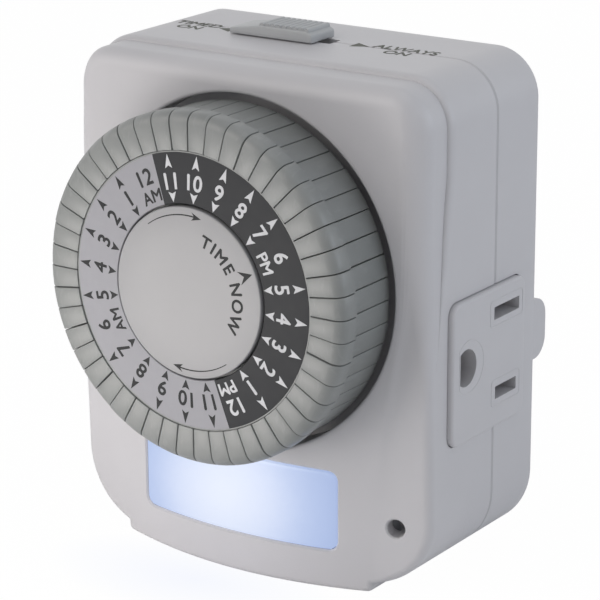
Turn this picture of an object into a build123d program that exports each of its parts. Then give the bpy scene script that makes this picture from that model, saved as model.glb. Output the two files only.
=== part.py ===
from build123d import *
import math
import os

# Plug-in 24 hour timer switch with a side outlet and a night light. Millimetres.
# X is to the right seen from the front, Y points back towards the wall, Z is up.
# The origin lies on the wall plane, midway between the two plug blades.

# ---- driving dimensions ----------------------------------------------------
# depth stack, counted from the wall plane towards the front
STANDOFF = 3.5             # plug boss and wall pads stand this far behind the rear face
REAR_DEPTH = 12.1          # rear casing, rear face to parting line
FRONT_DEPTH = 13.5         # front casing, parting line to the root of the raised shield
SHIELD_DEPTH = 6.3         # raised shield, root to its flat front
DIAL_PROUD = 13.0          # dial face in front of the shield's flat front

# casing outline
BODY_WIDTH = 65.0
BODY_TOP = 38.0            # above the blade line
BODY_BOTTOM = -36.6
BODY_CORNER = 8.0
WALL = 2.2
REAR_EDGE_ROUND = 2.0
SHOULDER_ROUND = 1.4
PARTING_CHAMFER = 0.25
FIT_GAP = 0.15             # loose fit of a moulded insert in its opening

# raised shield and bowed chin
SHIELD_INSET = 0.8         # shield side inside the body side
SHIELD_BOTTOM = -38.0
CHIN_BOTTOM = -41.2
CHIN_SIDE_STEP = 6.1       # chin side inside the shield side
CHIN_CORNER = 1.6
CHIN_REAR = 4.6            # chin skirt reaches this far behind the shield's flat front
CHIN_RISE = 0.6            # ridge of the chin in front of the flat front
CHIN_BAND_WIDTH = 8.5      # slanted side band beside the window
CHIN_BAND_DEPTH = 7.0      # side edge of that band behind the flat front
# height, side band width, rise of the ridge, bow of the front, depth of the band's side edge
CHIN_FOOT = (CHIN_BOTTOM, 9.1, CHIN_RISE, 3.5, 7.4)
BELOW_DIAL = (-14.0, 5.7, 0.4, 2.4, 5.4)
BESIDE_DIAL = (6.0, 2.5, 0.2, 0.9, 3.0)
ABOVE_DIAL = (22.0, 1.5, 0.0, 0.3, 2.2)
SHIELD_HEAD = (BODY_TOP, 1.5, 0.0, 0.2, 2.2)

# night light window
WINDOW_SIDE_MARGIN = 7.4   # window side inside the chin side
WINDOW_TOP = -22.9
WINDOW_BOTTOM = -35.3
WINDOW_CORNER = 1.5
LENS_BACK = 0.9            # rear of the lens behind the shield's flat front
LAMP_ROOM_SIDE = 2.4       # lamp room wider than the window, each side
LAMP_ROOM_ABOVE = 1.3
LAMP_ROOM_BELOW = 1.5
BOARD_THICKNESS = 1.2
BOARD_SET_BACK = 2.6       # front of the lamp board behind the rear of the lens
LAMP_RADIUS = 1.5
LAMP_HEIGHT = 2.2
LAMP_DOME = 1.2
LAMP_SPREAD = 9.0
CAPACITOR_LENGTH = 13.0
CAPACITOR_DEPTH = 5.5
CAPACITOR_HEIGHT = 6.0
CAPACITOR_X = -0.5
CAPACITOR_Z = -30.5
CAPACITOR_ROUND = 0.8
SENSOR_HOLE_RADIUS = 1.6
SENSOR_FROM_RIDGE = 2.8    # sensor hole outside the ridge beside the window
SENSOR_Z = -30.9
SENSOR_DEPTH = 4.5
SENSOR_SET_BACK = 1.5

# dial
DIAL_Z = 6.0               # dial axis above the blade line
WELL_GAP = 0.35            # round the tappet heads
WELL_DEPTH = 4.5           # well floor behind the shield's flat front
WELL_FLOOR = 1.5
TAPPET_COUNT = 48
TAPPET_LEG_THICKNESS = 4.15
TAPPET_OVERHANG = 1.6      # head beyond the leg
TAPPET_HEAD_DEPTH = 3.6
TAPPET_LENGTH = 13.2
TAPPET_CHAMFER = 1.4
TAPPET_SIDE_GAP = 0.1
TAPPET_TRAVEL = 3.0
DRUM_RADIUS = 21.2
DRUM_WALL = 1.6
DRUM_FACE_SET_BACK = 1.4   # number ring seat behind the tappet faces
DRUM_WEB = 1.6
DRUM_LIP = 0.5             # outside the number ring
DRUM_LIP_SET_BACK = 0.3    # behind the tappet faces
HUB_RADIUS = 7.0
SPINDLE_RADIUS = 3.0
RUNNING_FIT = 0.06
RING_INNER_RADIUS = 13.4
RING_RISE = 0.7            # inner edge stands in front of the outer edge
RING_THICKNESS = 0.8
POINTER_DISC_GAP = 0.35    # inside the number ring
POINTER_DISC_FRONT = 1.0   # in front of the tappet faces
POINTER_DISC_THICKNESS = 1.1
POINTER_DISC_ROUND = 0.3
FIRST_TAPPET_EDGE = 0.2    # degrees above the X axis

# gear train, 24 : 1
FINE_MODULE = 0.5
COARSE_MODULE = 0.6
DIAL_TEETH = 60
PINION_TEETH = 10
WHEEL_TEETH = 40
PRESSURE_ANGLE = 25.0
ADDENDUM = 0.8             # in modules
DEDENDUM = 1.05            # in modules
BACKLASH = 0.06
FLANK_FOOT = 0.02          # straight foot of a tooth below its involute
DIAL_GEAR_THICKNESS = 2.5
DIAL_GEAR_GAP = 1.3        # behind the well floor
WHEEL_THICKNESS = 1.5
GEAR_LAYER_GAP = 0.4
WHEEL_ANGLE = 130.0        # direction of the intermediate arbor from the dial axis
MOTOR_ANGLE = -30.0        # direction of the motor from the intermediate arbor
ARBOR_RADIUS = 1.0

# works plate and motor
PLATE_THICKNESS = 1.5
PLATE_SIDE_GAP = 2.3       # plate's left edge inside the casing wall
PLATE_WIDTH = 43.5
PLATE_BELOW_TOP = 11.5     # plate's top edge below the casing's
PLATE_ABOVE_BOTTOM = 11.6
PLATE_CORNER = 3.0
# pillars, from the plate's nearest side edge and from its top or bottom edge
LEFT_PILLAR = (2.6, 16.5)
TOP_PILLAR = (2.5, 3.1)
LOWER_RIGHT_PILLAR = (3.9, 5.6)
LOWER_LEFT_PILLAR = (3.0, 4.6)
PILLAR_RADIUS = 2.6
PILLAR_PILOT = 0.8
PLATE_SCREW_HEAD = 1.9
PLATE_SCREW_HEAD_HEIGHT = 1.2
PLATE_SCREW_LENGTH = 5.0
MOTOR_RADIUS = 13.6
MOTOR_DEPTH = 12.5
MOTOR_WALL = 0.7
MOTOR_SHAFT_RADIUS = 1.0
MOTOR_ROTOR_RADIUS = 5.0
COIL_INNER_RADIUS = 6.2
COIL_MARGIN = 0.6

# tappet follower and snap switch
FOLLOWER_ANGLE = 225.0     # position round the dial
FOLLOWER_CLEAR = 0.3       # finger tip behind a fully pushed tappet
FINGER_WIDTH = 3.0
FINGER_HEIGHT = 2.0
FINGER_SWING = 10.0        # degrees
LEVER_THICKNESS = 2.0
LEVER_DROP = 11.3          # pivot below the finger
LEVER_PIN_RADIUS = 0.9
LEVER_EYE_WALL = 1.0
EAR_THICKNESS = 1.6
EAR_GAP = 0.2              # between the lever's eye and each ear
EAR_WALL = 1.2
LEVER_BEHIND_PLATE = 2.6
PLUNGER_DROP = 4.6         # plunger below the finger
PLUNGER_RADIUS = 1.2
PLUNGER_STROKE = 1.1
PLUNGER_FLANGE = 0.7       # flange beyond the plunger, inside the switch
PLUNGER_FLANGE_THICKNESS = 0.85
SWITCH_WIDTH = 15.0
SWITCH_HEIGHT = 15.0
SWITCH_DEPTH = 7.0
SWITCH_WALL = 1.0
SPRING_BLADE = 0.3
SPRING_BLADE_WIDTH = 3.0

# mode switch on top
BUTTON_LENGTH = 15.0
BUTTON_DEPTH = 6.6
BUTTON_HEIGHT = 2.0
BUTTON_REST_X = -4.5
BUTTON_TRAVEL = 5.0
BUTTON_CLEAR = 0.25
BUTTON_CORNER = 0.8
STEM_LENGTH = 6.0
STEM_DEPTH = 2.6
RIB_COUNT = 9
RIB_WIDTH = 0.7
RIB_HEIGHT = 0.7
RIB_END_MARGIN = 2.0       # outer rib's middle inside the button's end
RIB_SIDE_MARGIN = 0.3
SLIDER_LENGTH = 16.0
SLIDER_DEPTH = 6.0
SLIDER_THICKNESS = 1.6

# side outlet, three hole 15 A pattern
OUTLET_Z = -5.95
OUTLET_Y = -13.6           # line through the two flat slots
SLOT_SPACING = 12.7
SLOT_HEIGHT = 2.0
NEUTRAL_SLOT = 7.4
HOT_SLOT = 6.2
GROUND_SPACING = 11.9
GROUND_HOLE_RADIUS = 2.9
GROUND_HOLE_FLAT = 1.7
OUTLET_PLATE_FRONT = -30.3
OUTLET_PLATE_REAR = -7.9
OUTLET_PLATE_HEIGHT = 23.2
OUTLET_PLATE_CORNER = 2.0
OUTLET_PLATE_PROUD = 1.0
OUTLET_PLATE_EDGE = 0.4

# plug
BLADE_SPACING = 12.7
BLADE_THICKNESS = 1.5
BLADE_LENGTH = 17.2
BLADE_EDGE = 0.4
HOT_BLADE_HEIGHT = 6.35
NEUTRAL_BLADE_HEIGHT = 7.94
GROUND_DROP = 11.9
GROUND_PIN_RADIUS = 2.385
GROUND_PIN_LENGTH = 20.5
GROUND_TAIL_RADIUS = 2.0   # pin's tail through the casing wall
PIN_RELIEF_RADIUS = 3.2    # shallow relief in the boss round the pin's root
PIN_RELIEF_DEPTH = 0.4
GROUND_TIP_ROUND = 1.6
PLUG_BOSS_RADIUS = 14.5
PAD_HEIGHT = 9.7
PAD_WIDTH = 6.5
PAD_ROUND = 3.0

# brass strips
STRIP = 0.6
STRIP_WIDTH = 4.0
STRIP_LAYER = 1.6
LEAF_GAP = 2.0
LEAF_WIDTH = 6.6
CLIP_FROM_WALL = 1.7       # clip's open end inside the casing wall
CLIP_LENGTH = 9.6

# case screws
SCREW_FROM_SIDE = 7.1
SCREW_BELOW_TOP = 7.4
SCREW_ABOVE_BOTTOM = 7.2
BOSS_RADIUS = 3.0
SCREW_RADIUS = 1.25
SCREW_FIT = 0.05
SCREW_HEAD_RADIUS = 2.4
SCREW_HEAD_HEIGHT = 1.8
SCREW_HEAD_SUNK = 1.2
SCREW_LENGTH = 16.0
CROSS_LENGTH = 3.0
CROSS_WIDTH = 0.6

# ---- planes worked out from the stack --------------------------------------
REAR_FACE = -STANDOFF
PARTING = REAR_FACE - REAR_DEPTH
SHIELD_ROOT = PARTING - FRONT_DEPTH
SHIELD_FRONT = SHIELD_ROOT - SHIELD_DEPTH
DIAL_FACE = SHIELD_FRONT - DIAL_PROUD
WELL_BOTTOM = SHIELD_FRONT + WELL_DEPTH
FLOOR_BACK = WELL_BOTTOM + WELL_FLOOR
DIAL_GEAR_FRONT = FLOOR_BACK + DIAL_GEAR_GAP
DIAL_GEAR_BACK = DIAL_GEAR_FRONT + DIAL_GEAR_THICKNESS
WHEEL_FRONT = DIAL_GEAR_BACK + GEAR_LAYER_GAP
WHEEL_BACK = WHEEL_FRONT + WHEEL_THICKNESS
PLATE_FRONT = WHEEL_BACK + GEAR_LAYER_GAP
PLATE_BACK = PLATE_FRONT + PLATE_THICKNESS
REAR_INNER = REAR_FACE - WALL
HALF = BODY_WIDTH / 2
CAVITY_HALF = HALF - WALL
OVER = 1.0                 # cutters run this far past what they cut

SHIELD_SIDE = HALF - SHIELD_INSET
CHIN_HALF_WIDTH = SHIELD_SIDE - CHIN_SIDE_STEP
WINDOW_HALF_WIDTH = CHIN_HALF_WIDTH - WINDOW_SIDE_MARGIN
SENSOR_X = SHIELD_SIDE - CHIN_BAND_WIDTH + SENSOR_FROM_RIDGE
SCREW_X = HALF - SCREW_FROM_SIDE
SCREW_TOP_Z = BODY_TOP - SCREW_BELOW_TOP
SCREW_BOTTOM_Z = BODY_BOTTOM + SCREW_ABOVE_BOTTOM
CLIP_TIP_X = CAVITY_HALF - CLIP_FROM_WALL
CLIP_ROOT_X = CLIP_TIP_X - CLIP_LENGTH
PLATE_LEFT = PLATE_SIDE_GAP - CAVITY_HALF
PLATE_RIGHT = PLATE_LEFT + PLATE_WIDTH
PLATE_TOP = BODY_TOP - PLATE_BELOW_TOP
PLATE_BOTTOM = BODY_BOTTOM + PLATE_ABOVE_BOTTOM

TAPPET_LEG_RADIUS = DRUM_RADIUS + TAPPET_LEG_THICKNESS
TAPPET_HEAD_RADIUS = TAPPET_LEG_RADIUS + TAPPET_OVERHANG
WELL_RADIUS = TAPPET_HEAD_RADIUS + WELL_GAP
RING_OUTER_RADIUS = DRUM_RADIUS - DRUM_LIP
POINTER_DISC_RADIUS = RING_INNER_RADIUS - POINTER_DISC_GAP

WHEEL_DISTANCE = COARSE_MODULE * (DIAL_TEETH + PINION_TEETH) / 2
WHEEL_X = WHEEL_DISTANCE * math.cos(math.radians(WHEEL_ANGLE))
WHEEL_Z = DIAL_Z + WHEEL_DISTANCE * math.sin(math.radians(WHEEL_ANGLE))
MOTOR_DISTANCE = FINE_MODULE * (WHEEL_TEETH + PINION_TEETH) / 2
MOTOR_X = WHEEL_X + MOTOR_DISTANCE * math.cos(math.radians(MOTOR_ANGLE))
MOTOR_Z = WHEEL_Z + MOTOR_DISTANCE * math.sin(math.radians(MOTOR_ANGLE))

os.makedirs("parts", exist_ok=True)


# ---- helpers ----------------------------------------------------------------
def slab(sketch, back, front):
    """Extrude a sketch drawn in X and Z from the depth 'back' forward to 'front'."""
    return extrude(Plane.XZ.offset(-back) * sketch, amount=back - front)


def disc(radius, x, z, back, front):
    return slab(Pos(x, z) * Circle(radius), back, front)


def tube(outer, inner, x, z, back, front):
    return slab(Pos(x, z) * (Circle(outer) - Circle(inner)), back, front)


def block(x_low, x_high, y_low, y_high, z_low, z_high):
    size = Box(x_high - x_low, y_high - y_low, z_high - z_low)
    return Pos((x_low + x_high) / 2, (y_low + y_high) / 2, (z_low + z_high) / 2) * size


def outline(half_width, bottom, top, corner):
    shape = RectangleRounded(2 * half_width, top - bottom, corner)
    return Pos(0, (top + bottom) / 2) * shape


def save(node, solids):
    shape = Compound(children=solids) if isinstance(solids, list) else solids
    export_step(shape, f"parts/{node}.step")


# ---- casing -------------------------------------------------------------------
def shield_section(z, band_width, rise, bow, band_end):
    """Plan section of the shield: bowed front, slanted side bands, straight sides."""
    side = SHIELD_SIDE
    ridge_x = side - band_width
    front = SHIELD_FRONT - rise
    left_ridge = (-ridge_x, front)
    right_ridge = (ridge_x, front)
    band = SHIELD_FRONT + band_end
    root = SHIELD_ROOT + WALL
    edges = [
        ThreePointArc(left_ridge, (0, front - bow), right_ridge),
        Line(right_ridge, (side, band)),
        Line((side, band), (side, root)),
        Line((side, root), (-side, root)),
        Line((-side, root), (-side, band)),
        Line((-side, band), left_ridge),
    ]
    return Pos(0, 0, z) * make_face(Wire(edges))


def shield_solid():
    """The chin swells forward and its side bands widen towards the bottom."""
    beside_window = (SENSOR_Z, CHIN_BAND_WIDTH, CHIN_RISE, 3.4, CHIN_BAND_DEPTH)
    stations = [CHIN_FOOT, beside_window, BELOW_DIAL, BESIDE_DIAL, ABOVE_DIAL, SHIELD_HEAD]
    return loft([shield_section(*station) for station in stations])


def shield_outline():
    """Front view of the shield, without the skirt of the chin."""
    return outline(SHIELD_SIDE, SHIELD_BOTTOM, BODY_TOP - SHIELD_INSET, BODY_CORNER)


def chin_outline():
    return outline(CHIN_HALF_WIDTH, CHIN_BOTTOM, DIAL_Z, CHIN_CORNER)


def shield():
    form = shield_solid()
    far_front = SHIELD_FRONT - DIAL_PROUD
    main = form & slab(shield_outline(), SHIELD_ROOT + OVER, far_front)
    skirt = form & slab(chin_outline(), SHIELD_FRONT + CHIN_REAR, far_front)
    return main + skirt


def body_outline(inset):
    corner = BODY_CORNER - inset
    return outline(HALF - inset, BODY_BOTTOM + inset, BODY_TOP - inset, corner)


def outlet_plate_outline(margin):
    """Plate outline on the right side, drawn in Y and Z."""
    depth = OUTLET_PLATE_REAR - OUTLET_PLATE_FRONT + 2 * margin
    height = OUTLET_PLATE_HEIGHT + 2 * margin
    centre = (OUTLET_PLATE_FRONT + OUTLET_PLATE_REAR) / 2
    return Pos(centre, OUTLET_Z) * RectangleRounded(depth, height, OUTLET_PLATE_CORNER)


def from_side(sketch, x_low, x_high):
    """Extrude a sketch drawn in Y and Z from x_low out to x_high."""
    return extrude(Plane.YZ.offset(x_low) * sketch, amount=x_high - x_low)


def outlet_opening():
    return from_side(outlet_plate_outline(FIT_GAP), CAVITY_HALF - OVER, HALF + OVER)


def button_slot():
    low = BUTTON_REST_X - STEM_LENGTH / 2 - BUTTON_CLEAR
    high = BUTTON_REST_X + BUTTON_TRAVEL + STEM_LENGTH / 2 + BUTTON_CLEAR
    half = STEM_DEPTH / 2 + BUTTON_CLEAR
    return block(low, high, PARTING - half, PARTING + half, BODY_TOP - WALL - OVER, BODY_TOP + OVER)


def screw_places():
    return [(x, z) for x in (-SCREW_X, SCREW_X) for z in (SCREW_BOTTOM_Z, SCREW_TOP_Z)]


def pillar_places():
    return [
        (PLATE_LEFT + LEFT_PILLAR[0], PLATE_TOP - LEFT_PILLAR[1]),
        (PLATE_RIGHT - TOP_PILLAR[0], PLATE_TOP - TOP_PILLAR[1]),
        (PLATE_RIGHT - LOWER_RIGHT_PILLAR[0], PLATE_BOTTOM + LOWER_RIGHT_PILLAR[1]),
        (PLATE_LEFT + LOWER_LEFT_PILLAR[0], PLATE_BOTTOM + LOWER_LEFT_PILLAR[1]),
    ]


def follower_x():
    reach = (TAPPET_LEG_RADIUS + DRUM_RADIUS) / 2
    return reach * math.cos(math.radians(FOLLOWER_ANGLE))


def follower_z():
    reach = (TAPPET_LEG_RADIUS + DRUM_RADIUS) / 2
    return DIAL_Z + reach * math.sin(math.radians(FOLLOWER_ANGLE))


def finger_window(back, front):
    """Slot for the follower finger, long enough for its swing."""
    rise = LEVER_DROP * math.radians(FINGER_SWING) + FINGER_HEIGHT
    low = follower_z() - FINGER_HEIGHT / 2 - BUTTON_CLEAR
    half = FINGER_WIDTH / 2 + BUTTON_CLEAR
    return block(follower_x() - half, follower_x() + half, front, back, low, low + rise + OVER)


def sensor_direction():
    """Outward normal of the right side band at the light sensor."""
    depth = CHIN_BAND_DEPTH + CHIN_RISE
    length = math.hypot(CHIN_BAND_WIDTH, depth)
    return (depth / length, -CHIN_BAND_WIDTH / length)


def sensor_cylinder(radius, start, end):
    """Cylinder along the sensor axis between two distances from the band surface."""
    nx, ny = sensor_direction()
    surface_y = SHIELD_FRONT - CHIN_RISE + SENSOR_FROM_RIDGE * nx / -ny
    base = (SENSOR_X + nx * start, surface_y + ny * start, SENSOR_Z)
    plane = Plane(origin=base, z_dir=(nx, ny, 0))
    return extrude(plane * Circle(radius), amount=end - start)


def make_light_sensor():
    """Sensor deep in the hole, clear of its end."""
    return sensor_cylinder(SENSOR_HOLE_RADIUS - SCREW_FIT, FIT_GAP - SENSOR_DEPTH, -SENSOR_SET_BACK)


def window_outline(margin):
    low = WINDOW_BOTTOM + margin
    high = WINDOW_TOP - margin
    return outline(WINDOW_HALF_WIDTH - margin, low, high, WINDOW_CORNER)


def lamp_room_outline(margin):
    low = WINDOW_BOTTOM - LAMP_ROOM_BELOW + margin
    high = WINDOW_TOP + LAMP_ROOM_ABOVE - margin
    return outline(WINDOW_HALF_WIDTH + LAMP_ROOM_SIDE - margin, low, high, WINDOW_CORNER)


def make_front_casing():
    trunk = slab(body_outline(0), PARTING, SHIELD_ROOT)
    rim = trunk.faces().sort_by(Axis.Y)[0].edges()
    trunk = fillet(rim, SHOULDER_ROUND)
    seam = trunk.faces().sort_by(Axis.Y)[-1].edges()
    trunk = chamfer(seam, PARTING_CHAMFER)
    casing = trunk + shield()
    casing -= slab(body_outline(WALL), PARTING + OVER, FLOOR_BACK)
    well = disc(WELL_RADIUS, 0, DIAL_Z, WELL_BOTTOM, DIAL_FACE - DIAL_PROUD)
    casing -= well
    casing -= slab(lamp_room_outline(0), FLOOR_BACK + OVER, SHIELD_FRONT + LENS_BACK)
    casing -= slab(window_outline(0), FLOOR_BACK, DIAL_FACE)
    casing -= disc(HUB_RADIUS + RUNNING_FIT, 0, DIAL_Z, FLOOR_BACK + OVER, WELL_BOTTOM - OVER)
    casing -= finger_window(FLOOR_BACK + OVER, WELL_BOTTOM - OVER)
    for x, z in screw_places():
        casing += disc(BOSS_RADIUS, x, z, PARTING, FLOOR_BACK - OVER)
        casing -= disc(SCREW_RADIUS + SCREW_FIT, x, z, PARTING + OVER, FLOOR_BACK)
    casing -= sensor_cylinder(SENSOR_HOLE_RADIUS, -SENSOR_DEPTH, OVER)
    for x, z in pillar_places():
        casing += disc(PILLAR_RADIUS, x, z, PLATE_FRONT, FLOOR_BACK - WELL_FLOOR / 2)
        casing -= disc(PILLAR_PILOT + SCREW_FIT, x, z, PLATE_FRONT + OVER, FLOOR_BACK)
    casing -= outlet_opening()
    casing -= button_slot()
    return casing


def wall_pad(side):
    """Rounded pad at the edge of the rear face that keeps the casing level on the wall plate."""
    pad = block(-PAD_WIDTH, 0, REAR_FACE - WALL / 2, 0, -PAD_HEIGHT / 2, PAD_HEIGHT / 2)
    pad = fillet(pad.edges().filter_by(Axis.X).group_by(Axis.Y)[-1], PAD_ROUND)
    pad = Pos(HALF, 0, OUTLET_Z) * pad
    return pad if side > 0 else mirror(pad, Plane.YZ)


def blade_hole(x, height):
    half = BLADE_THICKNESS / 2
    return block(x - half, x + half, REAR_INNER - OVER, OVER, -height / 2, height / 2)


def make_rear_casing():
    trunk = slab(body_outline(0), REAR_FACE, PARTING)
    back_rim = trunk.faces().sort_by(Axis.Y)[-1].edges()
    trunk = fillet(back_rim, REAR_EDGE_ROUND)
    seam = trunk.faces().sort_by(Axis.Y)[0].edges()
    trunk = chamfer(seam, PARTING_CHAMFER)
    casing = trunk - slab(body_outline(WALL), REAR_INNER, PARTING - OVER)
    for side in (-1, 1):
        casing += wall_pad(side)
    casing += disc(PLUG_BOSS_RADIUS, 0, -GROUND_DROP / 2, 0, REAR_FACE - WALL / 2)
    for x, z in screw_places():
        casing += disc(BOSS_RADIUS, x, z, REAR_INNER + WALL / 2, PARTING)
        casing -= disc(SCREW_RADIUS + SCREW_FIT, x, z, REAR_FACE + OVER, PARTING - OVER)
        head_seat = REAR_FACE - SCREW_HEAD_SUNK - SCREW_HEAD_HEIGHT
        casing -= disc(SCREW_HEAD_RADIUS + FIT_GAP, x, z, REAR_FACE + OVER, head_seat)
    casing -= blade_hole(-BLADE_SPACING / 2, HOT_BLADE_HEIGHT)
    casing -= blade_hole(BLADE_SPACING / 2, NEUTRAL_BLADE_HEIGHT)
    casing -= disc(GROUND_TAIL_RADIUS, 0, -GROUND_DROP, OVER, REAR_INNER - OVER)
    casing -= disc(PIN_RELIEF_RADIUS, 0, -GROUND_DROP, OVER, -PIN_RELIEF_DEPTH)
    casing -= outlet_opening()
    casing -= button_slot()
    return casing


def make_case_screws():
    screws = []
    seat = REAR_FACE - SCREW_HEAD_SUNK - SCREW_HEAD_HEIGHT
    top = seat + SCREW_HEAD_HEIGHT
    cross = Rectangle(CROSS_LENGTH, CROSS_WIDTH) + Rectangle(CROSS_WIDTH, CROSS_LENGTH)
    for x, z in screw_places():
        head = disc(SCREW_HEAD_RADIUS, x, z, top, seat)
        shank = disc(SCREW_RADIUS, x, z, seat, seat - SCREW_LENGTH)
        recess = slab(Pos(x, z) * cross, top + OVER, top - SCREW_HEAD_HEIGHT / 2)
        screws.append(head + shank - recess)
    return screws


# ---- night light -----------------------------------------------------------------
def make_window_lens():
    back = SHIELD_FRONT + LENS_BACK
    return shield_solid() & slab(window_outline(FIT_GAP), back, DIAL_FACE)


def board_front():
    return SHIELD_FRONT + LENS_BACK + BOARD_SET_BACK


def make_lamp_board():
    return slab(lamp_room_outline(FIT_GAP), board_front() + BOARD_THICKNESS, board_front())


def make_lamps():
    lamps = []
    z = (WINDOW_TOP + WINDOW_BOTTOM) / 2
    for x in (-LAMP_SPREAD, LAMP_SPREAD):
        lamp = disc(LAMP_RADIUS, x, z, board_front(), board_front() - LAMP_HEIGHT)
        top = lamp.edges().sort_by(Axis.Y)[0]
        lamps.append(fillet(top, LAMP_DOME))
    return lamps


def make_dropper_capacitor():
    back = board_front() + BOARD_THICKNESS
    can = Box(CAPACITOR_LENGTH, CAPACITOR_DEPTH, CAPACITOR_HEIGHT)
    can = fillet(can.edges().filter_by(Axis.X), CAPACITOR_ROUND)
    return Pos(CAPACITOR_X, back + CAPACITOR_DEPTH / 2, CAPACITOR_Z) * can


# ---- dial ------------------------------------------------------------------------
def make_drum():
    ring_seat = DIAL_FACE + DRUM_FACE_SET_BACK
    rear = DIAL_FACE + TAPPET_LENGTH
    drum = tube(DRUM_RADIUS, DRUM_RADIUS - DRUM_WALL, 0, DIAL_Z, rear, ring_seat)
    drum += disc(DRUM_RADIUS, 0, DIAL_Z, ring_seat + DRUM_WEB, ring_seat)
    lip_front = DIAL_FACE + DRUM_LIP_SET_BACK
    drum += tube(DRUM_RADIUS, RING_OUTER_RADIUS + FIT_GAP, 0, DIAL_Z, ring_seat, lip_front)
    drum += disc(HUB_RADIUS, 0, DIAL_Z, DIAL_GEAR_BACK, ring_seat)
    bore = SPINDLE_RADIUS + RUNNING_FIT
    drum -= disc(bore, 0, DIAL_Z, DIAL_GEAR_BACK + OVER, DIAL_FACE - OVER)
    return drum


def make_number_ring():
    """Slightly coned ring that carries the hour numbers."""
    seat = DIAL_FACE + DRUM_FACE_SET_BACK
    front = seat - RING_THICKNESS
    profile = Polyline(
        (RING_INNER_RADIUS, seat),
        (RING_OUTER_RADIUS, seat),
        (RING_OUTER_RADIUS, front),
        (RING_INNER_RADIUS, front - RING_RISE),
        close=True,
    )
    ring = revolve(make_face(profile), Axis.Y)
    return Pos(0, 0, DIAL_Z) * ring


def make_pointer_disc():
    front = DIAL_FACE - POINTER_DISC_FRONT
    plate = disc(POINTER_DISC_RADIUS, 0, DIAL_Z, front + POINTER_DISC_THICKNESS, front)
    return fillet(plate.edges().sort_by(Axis.Y)[0], POINTER_DISC_ROUND)


def make_spindle():
    front = DIAL_FACE - POINTER_DISC_FRONT + POINTER_DISC_THICKNESS
    return disc(SPINDLE_RADIUS, 0, DIAL_Z, PLATE_FRONT, front)


def tappet(index):
    """One half-hour tappet: a head that overhangs a long leg on the drum's rim."""
    inner = DRUM_RADIUS + FIT_GAP / 2
    profile = Polyline(
        (inner, DIAL_FACE),
        (TAPPET_HEAD_RADIUS - TAPPET_CHAMFER, DIAL_FACE),
        (TAPPET_HEAD_RADIUS, DIAL_FACE + TAPPET_CHAMFER),
        (TAPPET_HEAD_RADIUS, DIAL_FACE + TAPPET_HEAD_DEPTH),
        (TAPPET_LEG_RADIUS, DIAL_FACE + TAPPET_HEAD_DEPTH),
        (TAPPET_LEG_RADIUS, DIAL_FACE + TAPPET_LENGTH),
        (inner, DIAL_FACE + TAPPET_LENGTH),
        close=True,
    )
    pitch = 360 / TAPPET_COUNT
    sweep = pitch - math.degrees(TAPPET_SIDE_GAP / DRUM_RADIUS)
    blank = revolve(make_face(profile), Axis.Y, revolution_arc=sweep)
    turn = -(index + 1) * pitch - FIRST_TAPPET_EDGE + (pitch - sweep) / 2
    return Pos(0, 0, DIAL_Z) * Rot(0, turn, 0) * blank


# ---- gears -----------------------------------------------------------------------
def involute_half_angle(radius, base_radius, pitch_radius, half_tooth):
    """Half the tooth's angle at a radius, for an involute flank."""
    def involute(r):
        pressure = math.acos(min(1.0, base_radius / r))
        return math.tan(pressure) - pressure
    return half_tooth + involute(pitch_radius) - involute(max(radius, base_radius))


def gear_outline(teeth, module, tooth_angle):
    """Closed outline of a spur gear with one tooth centred on tooth_angle, in degrees."""
    pitch_radius = module * teeth / 2
    base_radius = pitch_radius * math.cos(math.radians(PRESSURE_ANGLE))
    tip = pitch_radius + ADDENDUM * module
    root = pitch_radius - DEDENDUM * module
    half_tooth = math.pi / (2 * teeth) - BACKLASH / pitch_radius
    foot = max(base_radius, root + FLANK_FOOT)
    flank = [root, foot, pitch_radius, (pitch_radius + tip) / 2, tip]
    points = []
    for tooth in range(teeth):
        centre = math.radians(tooth_angle) + 2 * math.pi * tooth / teeth
        halves = [involute_half_angle(r, base_radius, pitch_radius, half_tooth) for r in flank]
        for r, half in zip(flank, halves):
            points.append((r * math.cos(centre - half), r * math.sin(centre - half)))
        for r, half in zip(reversed(flank), reversed(halves)):
            points.append((r * math.cos(centre + half), r * math.sin(centre + half)))
    return make_face(Polyline(points, close=True))


def gear(teeth, module, tooth_angle, x, z, back, front):
    return slab(Pos(x, z) * gear_outline(teeth, module, tooth_angle), back, front)


def make_dial_gear():
    back = DIAL_GEAR_BACK
    blank = gear(DIAL_TEETH, COARSE_MODULE, WHEEL_ANGLE, 0, DIAL_Z, back, DIAL_GEAR_FRONT)
    return blank - disc(HUB_RADIUS, 0, DIAL_Z, DIAL_GEAR_BACK + OVER, DIAL_GEAR_FRONT - OVER)


def make_intermediate_wheel():
    """Wheel and pinion moulded in one, turning on a fixed arbor."""
    x, z = WHEEL_X, WHEEL_Z
    gap_towards_dial = WHEEL_ANGLE + 180 + 180 / PINION_TEETH
    pinion = gear(PINION_TEETH, COARSE_MODULE, gap_towards_dial, x, z, WHEEL_FRONT, DIAL_GEAR_FRONT)
    wheel = gear(WHEEL_TEETH, FINE_MODULE, MOTOR_ANGLE, x, z, WHEEL_BACK, WHEEL_FRONT)
    bore = disc(ARBOR_RADIUS + RUNNING_FIT, x, z, WHEEL_BACK + OVER, DIAL_GEAR_FRONT - OVER)
    return pinion + wheel - bore


def make_motor_pinion():
    x, z = MOTOR_X, MOTOR_Z
    gap_towards_wheel = MOTOR_ANGLE + 180 + 180 / PINION_TEETH
    blank = gear(PINION_TEETH, FINE_MODULE, gap_towards_wheel, x, z, WHEEL_BACK, WHEEL_FRONT)
    return blank - disc(MOTOR_SHAFT_RADIUS, x, z, WHEEL_BACK + OVER, WHEEL_FRONT - OVER)


def make_arbor():
    return disc(ARBOR_RADIUS, WHEEL_X, WHEEL_Z, PLATE_BACK, DIAL_GEAR_FRONT)


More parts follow.
